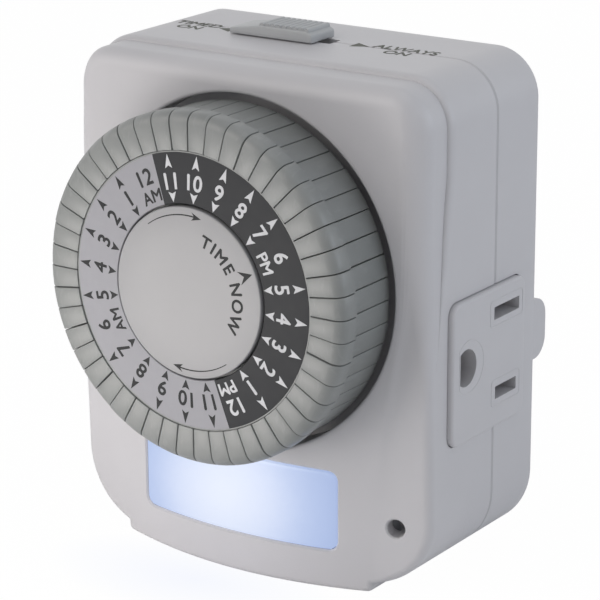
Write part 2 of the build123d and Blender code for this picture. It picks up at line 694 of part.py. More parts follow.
# ---- works plate and motor -----------------------------------------------------------
def make_works_plate():
    centre_x = (PLATE_LEFT + PLATE_RIGHT) / 2
    centre_z = (PLATE_TOP + PLATE_BOTTOM) / 2
    sheet = RectangleRounded(PLATE_WIDTH, PLATE_TOP - PLATE_BOTTOM, PLATE_CORNER)
    plate = slab(Pos(centre_x, centre_z) * sheet, PLATE_BACK, PLATE_FRONT)
    through = (PLATE_BACK + OVER, PLATE_FRONT - OVER)
    plate -= disc(ARBOR_RADIUS, WHEEL_X, WHEEL_Z, *through)
    plate -= disc(MOTOR_SHAFT_RADIUS + FIT_GAP, MOTOR_X, MOTOR_Z, *through)
    plate -= finger_window(*through)
    for x, z in pillar_places():
        plate -= disc(PILLAR_PILOT + FIT_GAP, x, z, *through)
    for side in (-1, 1):
        plate += lever_ear(side)
    return plate


def make_plate_screws():
    screws = []
    for x, z in pillar_places():
        head = disc(PLATE_SCREW_HEAD, x, z, PLATE_BACK + PLATE_SCREW_HEAD_HEIGHT, PLATE_BACK)
        shank = disc(PILLAR_PILOT, x, z, PLATE_BACK, PLATE_BACK - PLATE_SCREW_LENGTH)
        screws.append(head + shank)
    return screws


def make_motor_can():
    back = PLATE_BACK + MOTOR_DEPTH
    inside = PLATE_BACK + MOTOR_WALL
    can = disc(MOTOR_RADIUS, MOTOR_X, MOTOR_Z, back, PLATE_BACK)
    can -= disc(MOTOR_RADIUS - MOTOR_WALL, MOTOR_X, MOTOR_Z, back - MOTOR_WALL, inside)
    can -= disc(MOTOR_SHAFT_RADIUS + RUNNING_FIT, MOTOR_X, MOTOR_Z, inside + OVER, PLATE_BACK - OVER)
    return can


def make_motor_coil():
    back = PLATE_BACK + MOTOR_DEPTH - MOTOR_WALL
    front = PLATE_BACK + MOTOR_WALL + COIL_MARGIN
    return tube(MOTOR_RADIUS - MOTOR_WALL, COIL_INNER_RADIUS, MOTOR_X, MOTOR_Z, back, front)


def make_motor_shaft():
    back = PLATE_BACK + MOTOR_DEPTH - MOTOR_WALL - FIT_GAP
    front = PLATE_BACK + MOTOR_WALL + COIL_MARGIN
    rotor = disc(MOTOR_ROTOR_RADIUS, MOTOR_X, MOTOR_Z, back, front)
    return rotor + disc(MOTOR_SHAFT_RADIUS, MOTOR_X, MOTOR_Z, front, WHEEL_FRONT)


# ---- tappet follower and snap switch ---------------------------------------------------
def lever_front():
    return PLATE_BACK + LEVER_BEHIND_PLATE


def pivot_z():
    return follower_z() - LEVER_DROP


def pivot_y():
    return lever_front() + LEVER_THICKNESS / 2


def pivot_rod(radius, x_low, x_high):
    """Round rod along the lever's pivot axis."""
    return from_side(Pos(pivot_y(), pivot_z()) * Circle(radius), x_low, x_high)


def lever_ear(side):
    """Ear on the back of the works plate that carries the lever pin."""
    x = follower_x() + side * (FINGER_WIDTH / 2 + EAR_GAP + EAR_THICKNESS / 2)
    half = EAR_THICKNESS / 2
    reach = LEVER_PIN_RADIUS + EAR_WALL
    front = PLATE_BACK - PLATE_THICKNESS / 2
    low = pivot_z() - reach
    ear = block(x - half, x + half, front, pivot_y() + reach, low, low + 2 * reach)
    return ear - pivot_rod(LEVER_PIN_RADIUS, x - half - OVER, x + half + OVER)


def make_follower_lever():
    x = follower_x()
    half = FINGER_WIDTH / 2
    tip = DIAL_FACE + TAPPET_LENGTH + TAPPET_TRAVEL + FOLLOWER_CLEAR
    front = lever_front()
    back = front + LEVER_THICKNESS
    top = follower_z() + FINGER_HEIGHT / 2
    arm = block(x - half, x + half, front, back, pivot_z(), top)
    eye = pivot_rod(LEVER_PIN_RADIUS + LEVER_EYE_WALL, x - half, x + half)
    finger = block(x - half, x + half, tip, back, top - FINGER_HEIGHT, top)
    bore = pivot_rod(LEVER_PIN_RADIUS + RUNNING_FIT, x - half - OVER, x + half + OVER)
    return arm + eye + finger - bore


def make_lever_pin():
    x = follower_x()
    reach = FINGER_WIDTH / 2 + EAR_GAP + EAR_THICKNESS
    return pivot_rod(LEVER_PIN_RADIUS, x - reach, x + reach)


def plunger_z():
    return follower_z() - PLUNGER_DROP


def switch_front():
    return REAR_INNER - FIT_GAP - STRIP - SWITCH_DEPTH


def plunger_back():
    """Rear of the plunger's flange, which rests behind the switch's front wall."""
    return switch_front() + SWITCH_WALL + FIT_GAP + PLUNGER_FLANGE_THICKNESS


def make_switch_body():
    x = follower_x()
    half = SWITCH_WIDTH / 2
    front = switch_front()
    low = plunger_z() - SWITCH_HEIGHT / 2
    body = block(x - half, x + half, front, front + SWITCH_DEPTH, low, low + SWITCH_HEIGHT)
    inside = offset(body, amount=-SWITCH_WALL)
    bore = disc(PLUNGER_RADIUS + RUNNING_FIT, x, plunger_z(), front + SWITCH_WALL + OVER, front - OVER)
    return body - inside - bore


def make_switch_plunger():
    x = follower_x()
    tip = lever_front() + LEVER_THICKNESS + 2 * FIT_GAP
    back = plunger_back()
    front = back - PLUNGER_FLANGE_THICKNESS
    flange = disc(PLUNGER_RADIUS + PLUNGER_FLANGE, x, plunger_z(), back, front)
    return flange + disc(PLUNGER_RADIUS, x, plunger_z(), back, tip)


def make_contact_blade():
    """Spring blade inside the snap switch, behind the plunger."""
    x = follower_x()
    y = plunger_back() + PLUNGER_STROKE + 2 * FIT_GAP
    half = SWITCH_WIDTH / 2 - SWITCH_WALL
    low = plunger_z() - SPRING_BLADE_WIDTH / 2
    return block(x - half, x + half, y, y + SPRING_BLADE, low, low + SPRING_BLADE_WIDTH)


# ---- mode switch -----------------------------------------------------------------------
def upright(x, length, depth, z_low, z_high):
    """Block centred on the parting line at x."""
    half = length / 2
    return block(x - half, x + half, PARTING - depth / 2, PARTING + depth / 2, z_low, z_high)


def make_mode_button():
    base = BODY_TOP + BUTTON_CLEAR
    top = base + BUTTON_HEIGHT
    cap = upright(BUTTON_REST_X, BUTTON_LENGTH, BUTTON_DEPTH, base, top)
    cap = fillet(cap.edges().filter_by(Axis.Z), BUTTON_CORNER)
    pitch = (BUTTON_LENGTH - 2 * RIB_END_MARGIN) / (RIB_COUNT - 1)
    rib_depth = BUTTON_DEPTH - 2 * RIB_SIDE_MARGIN
    for rib in range(RIB_COUNT):
        x = BUTTON_REST_X + (rib - (RIB_COUNT - 1) / 2) * pitch
        cap += upright(x, RIB_WIDTH, rib_depth, top - BUTTON_HEIGHT / 2, top + RIB_HEIGHT)
    stem = upright(BUTTON_REST_X, STEM_LENGTH, STEM_DEPTH, slider_top(), base + BUTTON_HEIGHT / 2)
    return cap + stem


def slider_top():
    return BODY_TOP - WALL - BUTTON_CLEAR


def make_mode_slider():
    """Slider clipped to the button's stem under the casing roof."""
    low = slider_top() - SLIDER_THICKNESS
    return upright(BUTTON_REST_X, SLIDER_LENGTH, SLIDER_DEPTH, low, slider_top())


# ---- outlet, plug and brass strips --------------------------------------------------------
def make_outlet_plate():
    plate = from_side(outlet_plate_outline(0), CAVITY_HALF, HALF + OUTLET_PLATE_PROUD)
    rim = plate.faces().sort_by(Axis.X)[-1].edges()
    plate = chamfer(rim, OUTLET_PLATE_EDGE)
    through = (CAVITY_HALF - OVER, HALF + OUTLET_PLATE_PROUD + OVER)
    upper = Pos(OUTLET_Y, OUTLET_Z + SLOT_SPACING / 2) * Rectangle(NEUTRAL_SLOT, SLOT_HEIGHT)
    lower = Pos(OUTLET_Y, OUTLET_Z - SLOT_SPACING / 2) * Rectangle(HOT_SLOT, SLOT_HEIGHT)
    width = 2 * GROUND_HOLE_RADIUS
    keep = Pos(GROUND_HOLE_RADIUS - GROUND_HOLE_FLAT, 0) * Rectangle(width, width)
    round_hole = Pos(OUTLET_Y - GROUND_SPACING, OUTLET_Z) * (Circle(GROUND_HOLE_RADIUS) & keep)
    for hole in (upper, lower, round_hole):
        plate -= from_side(hole, *through)
    return plate


def make_blade(x, height, tail):
    half = BLADE_THICKNESS / 2
    blade = block(x - half, x + half, tail, BLADE_LENGTH, -height / 2, height / 2)
    tip = blade.faces().sort_by(Axis.Y)[-1].edges()
    return chamfer(tip, BLADE_EDGE)


def make_ground_pin():
    pin = disc(GROUND_PIN_RADIUS, 0, -GROUND_DROP, GROUND_PIN_LENGTH, 0)
    pin = fillet(pin.edges().sort_by(Axis.Y)[-1], GROUND_TIP_ROUND)
    return pin + disc(GROUND_TAIL_RADIUS, 0, -GROUND_DROP, 0, ground_layer() - STRIP)


def neutral_layer():
    return REAR_INNER - FIT_GAP


def ground_layer():
    return neutral_layer() - STRIP_LAYER


def clip(z, y_centre, leaf_width, leaf_gap):
    """Two spring leaves and the web that joins them, open towards the outlet."""
    near = y_centre - leaf_width / 2
    far = y_centre + leaf_width / 2
    half = leaf_gap / 2 + STRIP
    channel = block(CLIP_ROOT_X, CLIP_TIP_X, near, far, z - half, z + half)
    inside = block(CLIP_ROOT_X + STRIP, CLIP_TIP_X, near, far, z - leaf_gap / 2, z + leaf_gap / 2)
    return channel - inside


def clip_link(z, back):
    """Tab from the web of a slot's clip back to its strip."""
    half = LEAF_GAP / 2 + STRIP
    return block(CLIP_ROOT_X, CLIP_ROOT_X + STRIP, OUTLET_Y, back, z - half, z + half)


def make_neutral_contact():
    z = OUTLET_Z + SLOT_SPACING / 2
    back = neutral_layer()
    low = BLADE_SPACING / 2 + BLADE_THICKNESS / 2
    half = STRIP_WIDTH / 2
    bar = block(low, CLIP_ROOT_X + STRIP, back - STRIP, back, z - half, z + half)
    return bar + clip_link(z, back) + clip(z, OUTLET_Y, LEAF_WIDTH, LEAF_GAP)


def make_hot_feed_strip():
    """From the hot blade down and across to the snap switch."""
    back = neutral_layer()
    high = -BLADE_SPACING / 2 - BLADE_THICKNESS / 2
    low_z = plunger_z() - STRIP_WIDTH / 2
    drop = block(high - STRIP_WIDTH, high, back - STRIP, back, low_z, HOT_BLADE_HEIGHT / 2)
    run = block(follower_x(), high, back - STRIP, back, low_z, low_z + STRIP_WIDTH)
    return drop + run


def make_hot_outlet_contact():
    z = OUTLET_Z - SLOT_SPACING / 2
    back = neutral_layer()
    front = back - STRIP
    low = plunger_z() - SWITCH_HEIGHT / 2
    left = follower_x() - SWITCH_WIDTH / 2 + SWITCH_WALL
    right = CLIP_ROOT_X + STRIP
    run = block(left, right, front, back, low, low + STRIP_WIDTH)
    rise = block(CLIP_ROOT_X - STRIP_WIDTH, right, front, back, low, z + LEAF_GAP / 2)
    return run + rise + clip_link(z, back) + clip(z, OUTLET_Y, LEAF_WIDTH, LEAF_GAP)


def make_ground_contact():
    back = ground_layer()
    y = OUTLET_Y - GROUND_SPACING
    left = GROUND_TAIL_RADIUS
    right = CLIP_ROOT_X - STRIP - FIT_GAP
    near = y - LEAF_WIDTH / 2
    low = OUTLET_Z - STRIP_WIDTH / 2
    high = OUTLET_Z + STRIP_WIDTH / 2
    bar = block(left, right, back - STRIP, back, -GROUND_DROP - STRIP_WIDTH / 2, high)
    wing = block(right - STRIP, right, near, back, low, high)
    bridge = block(right - STRIP, CLIP_ROOT_X + STRIP, near, near + LEAF_WIDTH, low, high)
    return bar + wing + bridge + clip(OUTLET_Z, y, LEAF_WIDTH, 2 * GROUND_PIN_RADIUS)


# ---- write the nodes ------------------------------------------------------------------------
save("front_casing", make_front_casing())
save("rear_casing", make_rear_casing())
save("case_screws", make_case_screws())
save("window_lens", make_window_lens())
save("lamp_board", make_lamp_board())
save("lamps", make_lamps())
save("dropper_capacitor", make_dropper_capacitor())
save("light_sensor", make_light_sensor())
save("drum", make_drum())
save("number_ring", make_number_ring())
save("pointer_disc", make_pointer_disc())
save("spindle", make_spindle())
for hour in range(TAPPET_COUNT // 2):
    save(f"tappets_{hour:02d}", [tappet(2 * hour), tappet(2 * hour + 1)])
save("dial_gear", make_dial_gear())
save("intermediate_wheel", make_intermediate_wheel())
save("intermediate_arbor", make_arbor())
save("motor_pinion", make_motor_pinion())
save("works_plate", make_works_plate())
save("plate_screws", make_plate_screws())
save("motor_can", make_motor_can())
save("motor_coil", make_motor_coil())
save("motor_shaft", make_motor_shaft())
save("follower_lever", make_follower_lever())
save("lever_pin", make_lever_pin())
save("switch_body", make_switch_body())
save("switch_plunger", make_switch_plunger())
save("contact_blade", make_contact_blade())
save("mode_button", make_mode_button())
save("mode_slider", make_mode_slider())
save("outlet_plate", make_outlet_plate())
save("plug_blade_hot", make_blade(-BLADE_SPACING / 2, HOT_BLADE_HEIGHT, neutral_layer() - STRIP))
save("plug_blade_neutral", make_blade(BLADE_SPACING / 2, NEUTRAL_BLADE_HEIGHT, neutral_layer() - STRIP))
save("ground_pin", make_ground_pin())
save("neutral_contact", make_neutral_contact())
save("hot_feed_strip", make_hot_feed_strip())
save("hot_outlet_contact", make_hot_outlet_contact())
save("ground_contact", make_ground_contact())
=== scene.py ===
import bmesh
import bpy
import math
from mathutils import Matrix, Vector


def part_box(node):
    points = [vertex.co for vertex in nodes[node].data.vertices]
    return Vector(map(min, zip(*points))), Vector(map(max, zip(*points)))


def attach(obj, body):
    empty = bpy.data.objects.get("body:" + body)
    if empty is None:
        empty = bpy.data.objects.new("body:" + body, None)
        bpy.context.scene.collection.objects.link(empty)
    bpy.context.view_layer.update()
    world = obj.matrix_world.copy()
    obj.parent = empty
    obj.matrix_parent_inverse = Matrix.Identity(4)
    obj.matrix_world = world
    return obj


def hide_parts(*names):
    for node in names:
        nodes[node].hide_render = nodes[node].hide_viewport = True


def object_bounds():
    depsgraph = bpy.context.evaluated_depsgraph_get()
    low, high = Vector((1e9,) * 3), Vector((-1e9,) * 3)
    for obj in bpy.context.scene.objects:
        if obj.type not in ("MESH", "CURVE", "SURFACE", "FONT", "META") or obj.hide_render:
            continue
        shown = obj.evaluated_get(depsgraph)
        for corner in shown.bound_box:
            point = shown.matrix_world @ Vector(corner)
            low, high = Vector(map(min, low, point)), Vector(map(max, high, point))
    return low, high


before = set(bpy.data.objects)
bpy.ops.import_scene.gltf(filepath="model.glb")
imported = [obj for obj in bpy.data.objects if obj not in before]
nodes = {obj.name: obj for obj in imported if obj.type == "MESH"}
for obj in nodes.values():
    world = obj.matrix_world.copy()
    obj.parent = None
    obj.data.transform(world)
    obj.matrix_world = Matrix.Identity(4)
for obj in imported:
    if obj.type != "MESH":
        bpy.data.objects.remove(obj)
cad_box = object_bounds()
# Sizes and places below are in millimetres, and named angles are in degrees.
MM = 0.001

# ---- Studio -----------------------------------------------------------------
# A plain white sweep under large soft lamps. The timer stands on the lip of its
# chin, so the floor touches that and nothing else.
CAMERA_PLACE = (229.24, -352.76, 123.73)
CAMERA_YAW = 34.56
CAMERA_PITCH = 17.35
CAMERA_ROLL = -0.27
CAMERA_LENS = 163.13
LAMP_TARGET = (0, -20, 0)
WORLD_TINT = "#f4f6fa"
WORLD_LEVEL = 0.42
FLOOR_SIZE = 4000.0
FLOOR_DROP = 0.02
FLOOR_WHITE = "#ffffff"
FLOOR_WHITE_SHARE = 0.985
# the night light's pool of blue light on the floor is painted into the card's colour
PAINTED_GLOW_TINT = "#f6f8ff"
PAINTED_GLOW_PLACE = (-3.0, -45.0)
PAINTED_GLOW_REACH = (26.0, 14.0)


def linear(hex_colour):
    """The linear RGBA that a shader takes, from an sRGB hex colour."""
    channels = [int(hex_colour[i:i + 2], 16) / 255 for i in (1, 3, 5)]
    return [c / 12.92 if c <= 0.04045 else ((c + 0.055) / 1.055) ** 2.4 for c in channels] + [1.0]


def add_node(tree, kind, inputs=(), **settings):
    """Adds one node: a socket given for an input is linked, any other value is set."""
    node = tree.nodes.new(kind)
    for name, value in settings.items():
        setattr(node, name, value)
    for key, value in dict(inputs).items():
        if isinstance(value, bpy.types.NodeSocket):
            tree.links.new(value, node.inputs[key])
        else:
            node.inputs[key].default_value = value
    return node


def new_material(name):
    """An empty node material, its tree, and the place on the object that its patterns read."""
    material = bpy.data.materials.new(name)
    material.use_nodes = True
    tree = material.node_tree
    tree.nodes.clear()
    place = add_node(tree, "ShaderNodeTexCoord").outputs["Object"]
    return material, tree, place


def new_object(name, points, faces):
    """A mesh object whose points are in millimetres of the shared frame."""
    mesh = bpy.data.meshes.new(name)
    mesh.from_pydata([[c * MM for c in point] for point in points], [], faces)
    mesh.update()
    piece = bpy.data.objects.new(name, mesh)
    bpy.context.scene.collection.objects.link(piece)
    return piece


def aim_camera():
    """A long lens that looks down a little on the front and the right side."""
    yaw = math.radians(CAMERA_YAW)
    pitch = math.radians(CAMERA_PITCH)
    forward = Vector((-math.sin(yaw) * math.cos(pitch), math.cos(yaw) * math.cos(pitch), -math.sin(pitch)))
    level = forward.cross(Vector((0, 0, 1))).normalized()
    upright = level.cross(forward)
    roll = math.radians(CAMERA_ROLL)
    right = math.cos(roll) * level + math.sin(roll) * upright
    up = math.cos(roll) * upright - math.sin(roll) * level
    data = bpy.data.cameras.new("camera")
    data.lens = CAMERA_LENS
    data.clip_start = 0.01
    camera = bpy.data.objects.new("camera", data)
    turn = Matrix((right, up, -forward)).transposed().to_4x4()
    camera.matrix_world = Matrix.Translation(Vector(CAMERA_PLACE) * MM) @ turn
    bpy.context.scene.collection.objects.link(camera)
    bpy.context.scene.camera = camera


def soft_lamp(name, place, size, power, colour):
    """A square area lamp that looks at the middle of the timer."""
    data = bpy.data.lights.new(name, "AREA")
    data.shape = "SQUARE"
    data.size = size * MM
    data.energy = power
    data.color = linear(colour)[:3]
    lamp = bpy.data.objects.new(name, data)
    lamp.visible_camera = False
    place = Vector(place) * MM
    look = (Vector(LAMP_TARGET) * MM - place).to_track_quat("-Z", "Y")
    lamp.matrix_world = Matrix.Translation(place) @ look.to_matrix().to_4x4()
    bpy.context.scene.collection.objects.link(lamp)


def white_world():
    """Even studio light, seen as plain white by the camera, through clear parts and in reflections."""
    world = bpy.data.worlds.new("studio")
    world.use_nodes = True
    tree = world.node_tree
    tree.nodes.clear()
    path = add_node(tree, "ShaderNodeLightPath").outputs
    seen = path["Is Camera Ray"]
    for ray in ("Is Transmission Ray", "Is Glossy Ray"):
        seen = add_node(tree, "ShaderNodeMath", {0: seen, 1: path[ray]}, operation="MAXIMUM").outputs[0]
    light = add_node(tree, "ShaderNodeBackground", {"Color": linear(WORLD_TINT), "Strength": WORLD_LEVEL})
    white = add_node(tree, "ShaderNodeBackground", {"Color": linear(FLOOR_WHITE), "Strength": 1.0})
    mix = add_node(tree, "ShaderNodeMixShader", {0: seen, 1: light.outputs[0], 2: white.outputs[0]})
    add_node(tree, "ShaderNodeOutputWorld", {"Surface": mix.outputs[0]})
    bpy.context.scene.world = world


def white_card():
    """Matt white card, which the camera sees near white, with a painted pool of blue light under the night
    light.
    """
    material, tree, place = new_material("white card")
    # painted light: a spherical pool of blue, standing for the night light's glow, tints the card
    painted_glow_place = add_node(tree, "ShaderNodeMapping", {
        "Vector": place,
        "Location": (-PAINTED_GLOW_PLACE[0] / PAINTED_GLOW_REACH[0], -PAINTED_GLOW_PLACE[1] / PAINTED_GLOW_REACH[1], 0),
        "Scale": (1 / (PAINTED_GLOW_REACH[0] * MM), 1 / (PAINTED_GLOW_REACH[1] * MM), 1)})
    pool = add_node(tree, "ShaderNodeTexGradient", {
        "Vector": painted_glow_place.outputs[0]}, gradient_type="SPHERICAL")
    colour = add_node(tree, "ShaderNodeMix", {
        "Factor": pool.outputs["Fac"], "A": linear(FLOOR_WHITE), "B": linear(PAINTED_GLOW_TINT)}, data_type="RGBA")
    card = add_node(tree, "ShaderNodeBsdfDiffuse", {"Color": colour.outputs["Result"], "Roughness": 0.5})
    glow = add_node(tree, "ShaderNodeEmission", {"Color": colour.outputs["Result"], "Strength": 1.0})
    path = add_node(tree, "ShaderNodeLightPath").outputs
    share = add_node(tree, "ShaderNodeMath", {
        0: path["Is Camera Ray"], 1: FLOOR_WHITE_SHARE}, operation="MULTIPLY")
    mix = add_node(tree, "ShaderNodeMixShader", {0: share.outputs[0], 1: card.outputs[0], 2: glow.outputs[0]})
    add_node(tree, "ShaderNodeOutputMaterial", {"Surface": mix.outputs[0]})
    return material


aim_camera()
white_world()
soft_lamp("key", (-240, -480, 290), 400, 1.0, "#fff8f2")
soft_lamp("side", (590, 170, 190), 360, 0.92, "#eaf3ff")
soft_lamp("top", (40, -40, 620), 420, 0.5, "#ffffff")
soft_lamp("low_card", (-45, -120, -34), 60, 0.065, "#fffaf6")
half = FLOOR_SIZE / 2
floor_corners = [(-half, -half, 0), (half, -half, 0), (half, half, 0), (-half, half, 0)]
floor = new_object("floor", floor_corners, [(0, 1, 2, 3)])
floor.location.z = cad_box[0][2] - FLOOR_DROP * MM
floor.data.materials.append(white_card())
bpy.context.scene.view_settings.view_transform = "Standard"

# ---- Rear casing ------------------------------------------------------------
# The half shell behind the parting line, moulded in light grey ABS with a fine
# spark-eroded grain. It has a boss round the plug and two pads that bear on the
# wall plate, and four screws pull it against the front casing.
CASING_GREY = "#c6c5c8"
CASING_SHADE = "#bebdc0"
CLOUD_SIZE = 14.0
PLASTIC_IOR = 1.53
# the trunk of the body, which both casings share, and the corners of the chin
DIAL_Z = 6.0
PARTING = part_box("rear_casing")[0][1] / MM
HALF_WIDTH = 32.5
BODY_TOP = 38.0
BODY_BOTTOM = -39.7
TOP_CORNER = 7.3
BOTTOM_CORNER = 11.0
WALL = 2.2
SEAM_CHAMFER = 0.32
CHIN_SIDE = 23.2
CHIN_BOTTOM = -41.2
LEAST_CORNER = 0.1
# the rays that both casings are built on, closer together near the chin's corners
RAY_STEP = 1.0
CORNER_RAY_STEP = 0.25
CORNER_RAYS = 3.5
RAY_LIMIT = 80.0
RAY_HALVINGS = 34
# a quarter turn, and the rows of points round a small rounded edge, in radians
QUARTER = math.pi / 2
EDGE_LEANS = (0.5, 1.0, QUARTER)
# the rear casing's own shape
REAR_FACE = -3.5
REAR_INNER = REAR_FACE - WALL
REAR_EDGE = 0.3
BOSS_RADIUS = 14.5
BOSS_EDGE = 0.4
BOSS_SINK = 1.0
PAD_TOP = -1.1
PAD_BOTTOM = -10.8
PAD_ROUND = 3.2
PAD_SINK = 0.3
PAD_INNER = 26.0
PAD_OUTER = HALF_WIDTH - 0.01
SCREW_PLACES = [(-25.4, -29.4), (-25.4, 30.6), (25.4, -29.4), (25.4, 30.6)]
SCREW_HEAD = 2.55
# the openings that both casings share: for the outlet's plate and the button's stem
PLATE_FRONT = -28.9
PLATE_REAR = -7.9
PLATE_TOP = 4.4
PLATE_BOTTOM = -17.9
PLATE_Y = (PLATE_FRONT + PLATE_REAR) / 2
PLATE_Z = (PLATE_TOP + PLATE_BOTTOM) / 2
PLATE_HALF_DEPTH = (PLATE_REAR - PLATE_FRONT) / 2
PLATE_HALF_HEIGHT = (PLATE_TOP - PLATE_BOTTOM) / 2
PLATE_CORNER = 2.0
PLATE_GAP = 0.15
STEM_SLOT_X = -2.0
STEM_SLOT_HALF_LENGTH = 5.75
STEM_SLOT_HALF_DEPTH = 1.55
STEM_SLOT_CORNER = 0.3
CUT_PAST = 1.0


def moulded_plastic(name, colour, shade, roughness, grain, depth):
    """Satin moulded plastic: clouds of tone, and a grain of this size and depth with uneven gloss."""
    material, tree, place = new_material(name)
    tone = add_node(tree, "ShaderNodeTexNoise", {
        "Vector": place, "Scale": 1 / (CLOUD_SIZE * MM), "Detail": 3.0})
    base = add_node(tree, "ShaderNodeMix", {
        "Factor": tone.outputs["Fac"], "A": linear(colour), "B": linear(shade)}, data_type="RGBA")
    skin = add_node(tree, "ShaderNodeTexNoise", {"Vector": place, "Scale": 1 / (grain * MM), "Detail": 2.0})
    gloss = add_node(tree, "ShaderNodeMapRange", {
        "Value": skin.outputs["Fac"], "To Min": roughness - 0.05, "To Max": roughness + 0.05})
    bump = add_node(tree, "ShaderNodeBump", {
        "Height": skin.outputs["Fac"], "Distance": depth * MM, "Strength": 1.0})
    shader = add_node(tree, "ShaderNodeBsdfPrincipled", {
        "Base Color": base.outputs["Result"], "Roughness": gloss.outputs["Result"],
        "Normal": bump.outputs["Normal"], "IOR": PLASTIC_IOR})
    add_node(tree, "ShaderNodeOutputMaterial", {"Surface": shader.outputs["BSDF"]})
    return material


def spaced(start, end, steps):
    """The ends of equal steps from one value to another."""
    return [start + (end - start) * i / steps for i in range(1, steps + 1)]


def even_rays(count):
    """Directions all round a centre, in radians."""
    return [math.tau * i / count for i in range(count)]


def box_distance(x, z, half_width, bottom, top, corner):
    """Signed distance to a rounded rectangle that is centred on x."""
    dx = abs(x) - half_width + corner
    dz = abs(z - (top + bottom) / 2) - (top - bottom) / 2 + corner
    return math.hypot(max(dx, 0), max(dz, 0)) + min(max(dx, dz), 0) - corner


def reach(angle, half_width, bottom, top, corner, centre_z=DIAL_Z, arch=0.0):
    """How far a ray from a centre on the x = 0 line runs inside a rounded rectangle, its bottom arched."""
    near, far = 0.0, RAY_LIMIT
    for _ in range(RAY_HALVINGS):
        middle = (near + far) / 2
        x = middle * math.cos(angle)
        z = centre_z + middle * math.sin(angle)
        if box_distance(x, z - arch * (x / half_width) ** 2, half_width, bottom, top, corner) < 0:
            near = middle
        else:
            far = middle
    return (near + far) / 2


def body_reach(angle, inset=0.0):
    """The trunk's outline, whose lower corners are rounder than its upper ones."""
    corner = TOP_CORNER if math.sin(angle) > 0 else BOTTOM_CORNER
    return reach(angle, HALF_WIDTH - inset, BODY_BOTTOM + inset, BODY_TOP - inset,
                 max(corner - inset, LEAST_CORNER))


def casing_rays():
    """Rays from the dial axis, the left ones a mirror of the right ones, in radians."""
    corner = math.degrees(math.atan2(CHIN_BOTTOM - DIAL_Z, CHIN_SIDE))
    right = []
    degree = -90.0
    while degree < 90.0:
        right.append(degree)
        degree += CORNER_RAY_STEP if abs(degree - corner) < CORNER_RAYS else RAY_STEP
    return [math.radians(a) for a in right] + [math.radians(180 - a) for a in reversed(right[1:])]


def tidy_mesh(piece, merge=0.002):
    """Merges doubled points, drops faces without area and turns every face outwards."""
    edit = bmesh.new()
    edit.from_mesh(piece.data)
    bmesh.ops.remove_doubles(edit, verts=edit.verts, dist=merge * MM)
    bmesh.ops.dissolve_degenerate(edit, dist=merge * MM / 2, edges=edit.edges)
    bmesh.ops.recalc_face_normals(edit, faces=edit.faces)
    edit.to_mesh(piece.data)
    edit.free()


def loft(name, rings, closed=False, merge=0.002):
    """A skin over like rings of points: closed on itself as a tyre is, or else capped at both ends."""
    count = len(rings[0])
    points = [point for ring in rings for point in ring]
    last = len(points) - count
    faces = [] if closed else [tuple(range(count)), tuple(reversed(range(last, last + count)))]
    for ring in range(len(rings) if closed else len(rings) - 1):
        start = ring * count
        end = (ring + 1) % len(rings) * count
        faces += [(start + i, start + (i + 1) % count, end + (i + 1) % count, end + i) for i in range(count)]
    piece = new_object(name, points, faces)
    tidy_mesh(piece, merge)
    return piece


def polar_shell(name, rays, profile_at, centre_z):
    """A loft through one section along each ray from a centre on the x = 0 line, given as (radius, y)."""
    rings = [[(r * math.cos(ray), y, centre_z + r * math.sin(ray)) for r, y in profile_at(ray)]
             for ray in rays]
    return loft(name, rings, closed=True)


def prism(name, outline, place, low, high):
    """Closed prism of a flat outline between two depths; place turns (u, v, depth) into a point."""
    return loft(name, [[place(u, v, depth) for u, v in outline] for depth in (low, high)])


def facing_front(u, v, depth):
    return (u, depth, v)


def facing_right(u, v, depth):
    return (depth, u, v)


def facing_up(u, v, depth):
    return (u, v, depth)


def circle(radius, centre=(0.0, 0.0), steps=36):
    """Outline of a circle."""
    return [(centre[0] + radius * math.cos(a), centre[1] + radius * math.sin(a)) for a in even_rays(steps)]


def rounded_box(half_width, half_height, corner, steps=6, centre=(0.0, 0.0)):
    """Outline of a rounded rectangle, with this many steps round each corner."""
    outline = []
    for quarter, (sx, sz) in enumerate(((1, 1), (-1, 1), (-1, -1), (1, -1))):
        for i in range(steps + 1):
            a = QUARTER * (quarter + i / steps)
            outline.append((centre[0] + sx * (half_width - corner) + corner * math.cos(a),
                            centre[1] + sz * (half_height - corner) + corner * math.sin(a)))
    return outline


def apply_modifiers(piece):
    """Replaces a piece's mesh by what its modifiers make of it."""
    graph = bpy.context.evaluated_depsgraph_get()
    mesh = bpy.data.meshes.new_from_object(piece.evaluated_get(graph))
    piece.modifiers.clear()
    piece.data = mesh


def cut(piece, *cutters):
    """Takes closed cutters out of a closed piece."""
    for cutter in cutters:
        modifier = piece.modifiers.new("cut", "BOOLEAN")
        modifier.operation = "DIFFERENCE"
        modifier.solver = "EXACT"
        modifier.object = cutter
        apply_modifiers(piece)
        bpy.data.objects.remove(cutter)
    tidy_mesh(piece)


def join(name, pieces):
    """Several meshes as one object."""
    edit = bmesh.new()
    for piece in pieces:
        edit.from_mesh(piece.data)
        bpy.data.objects.remove(piece)
    mesh = bpy.data.meshes.new(name)
    edit.to_mesh(mesh)
    edit.free()
    joined = bpy.data.objects.new(name, mesh)
    bpy.context.scene.collection.objects.link(joined)
    return joined


def shade_smooth(piece, angle=32):
    """Smooth shading, with the edges sharper than an angle kept crisp."""
    piece.data.shade_smooth()
    piece.data.set_sharp_from_angle(angle=math.radians(angle))


def fit_piece(piece, material, body, slot, *replaced):
    """Finishes a piece: its material, the body it rides on, and the CAD nodes it stands for; its slot is not
    used.
    """
    piece.data.materials.clear()
    piece.data.materials.append(material)
    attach(piece, body)
    if replaced:
        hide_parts(*replaced)


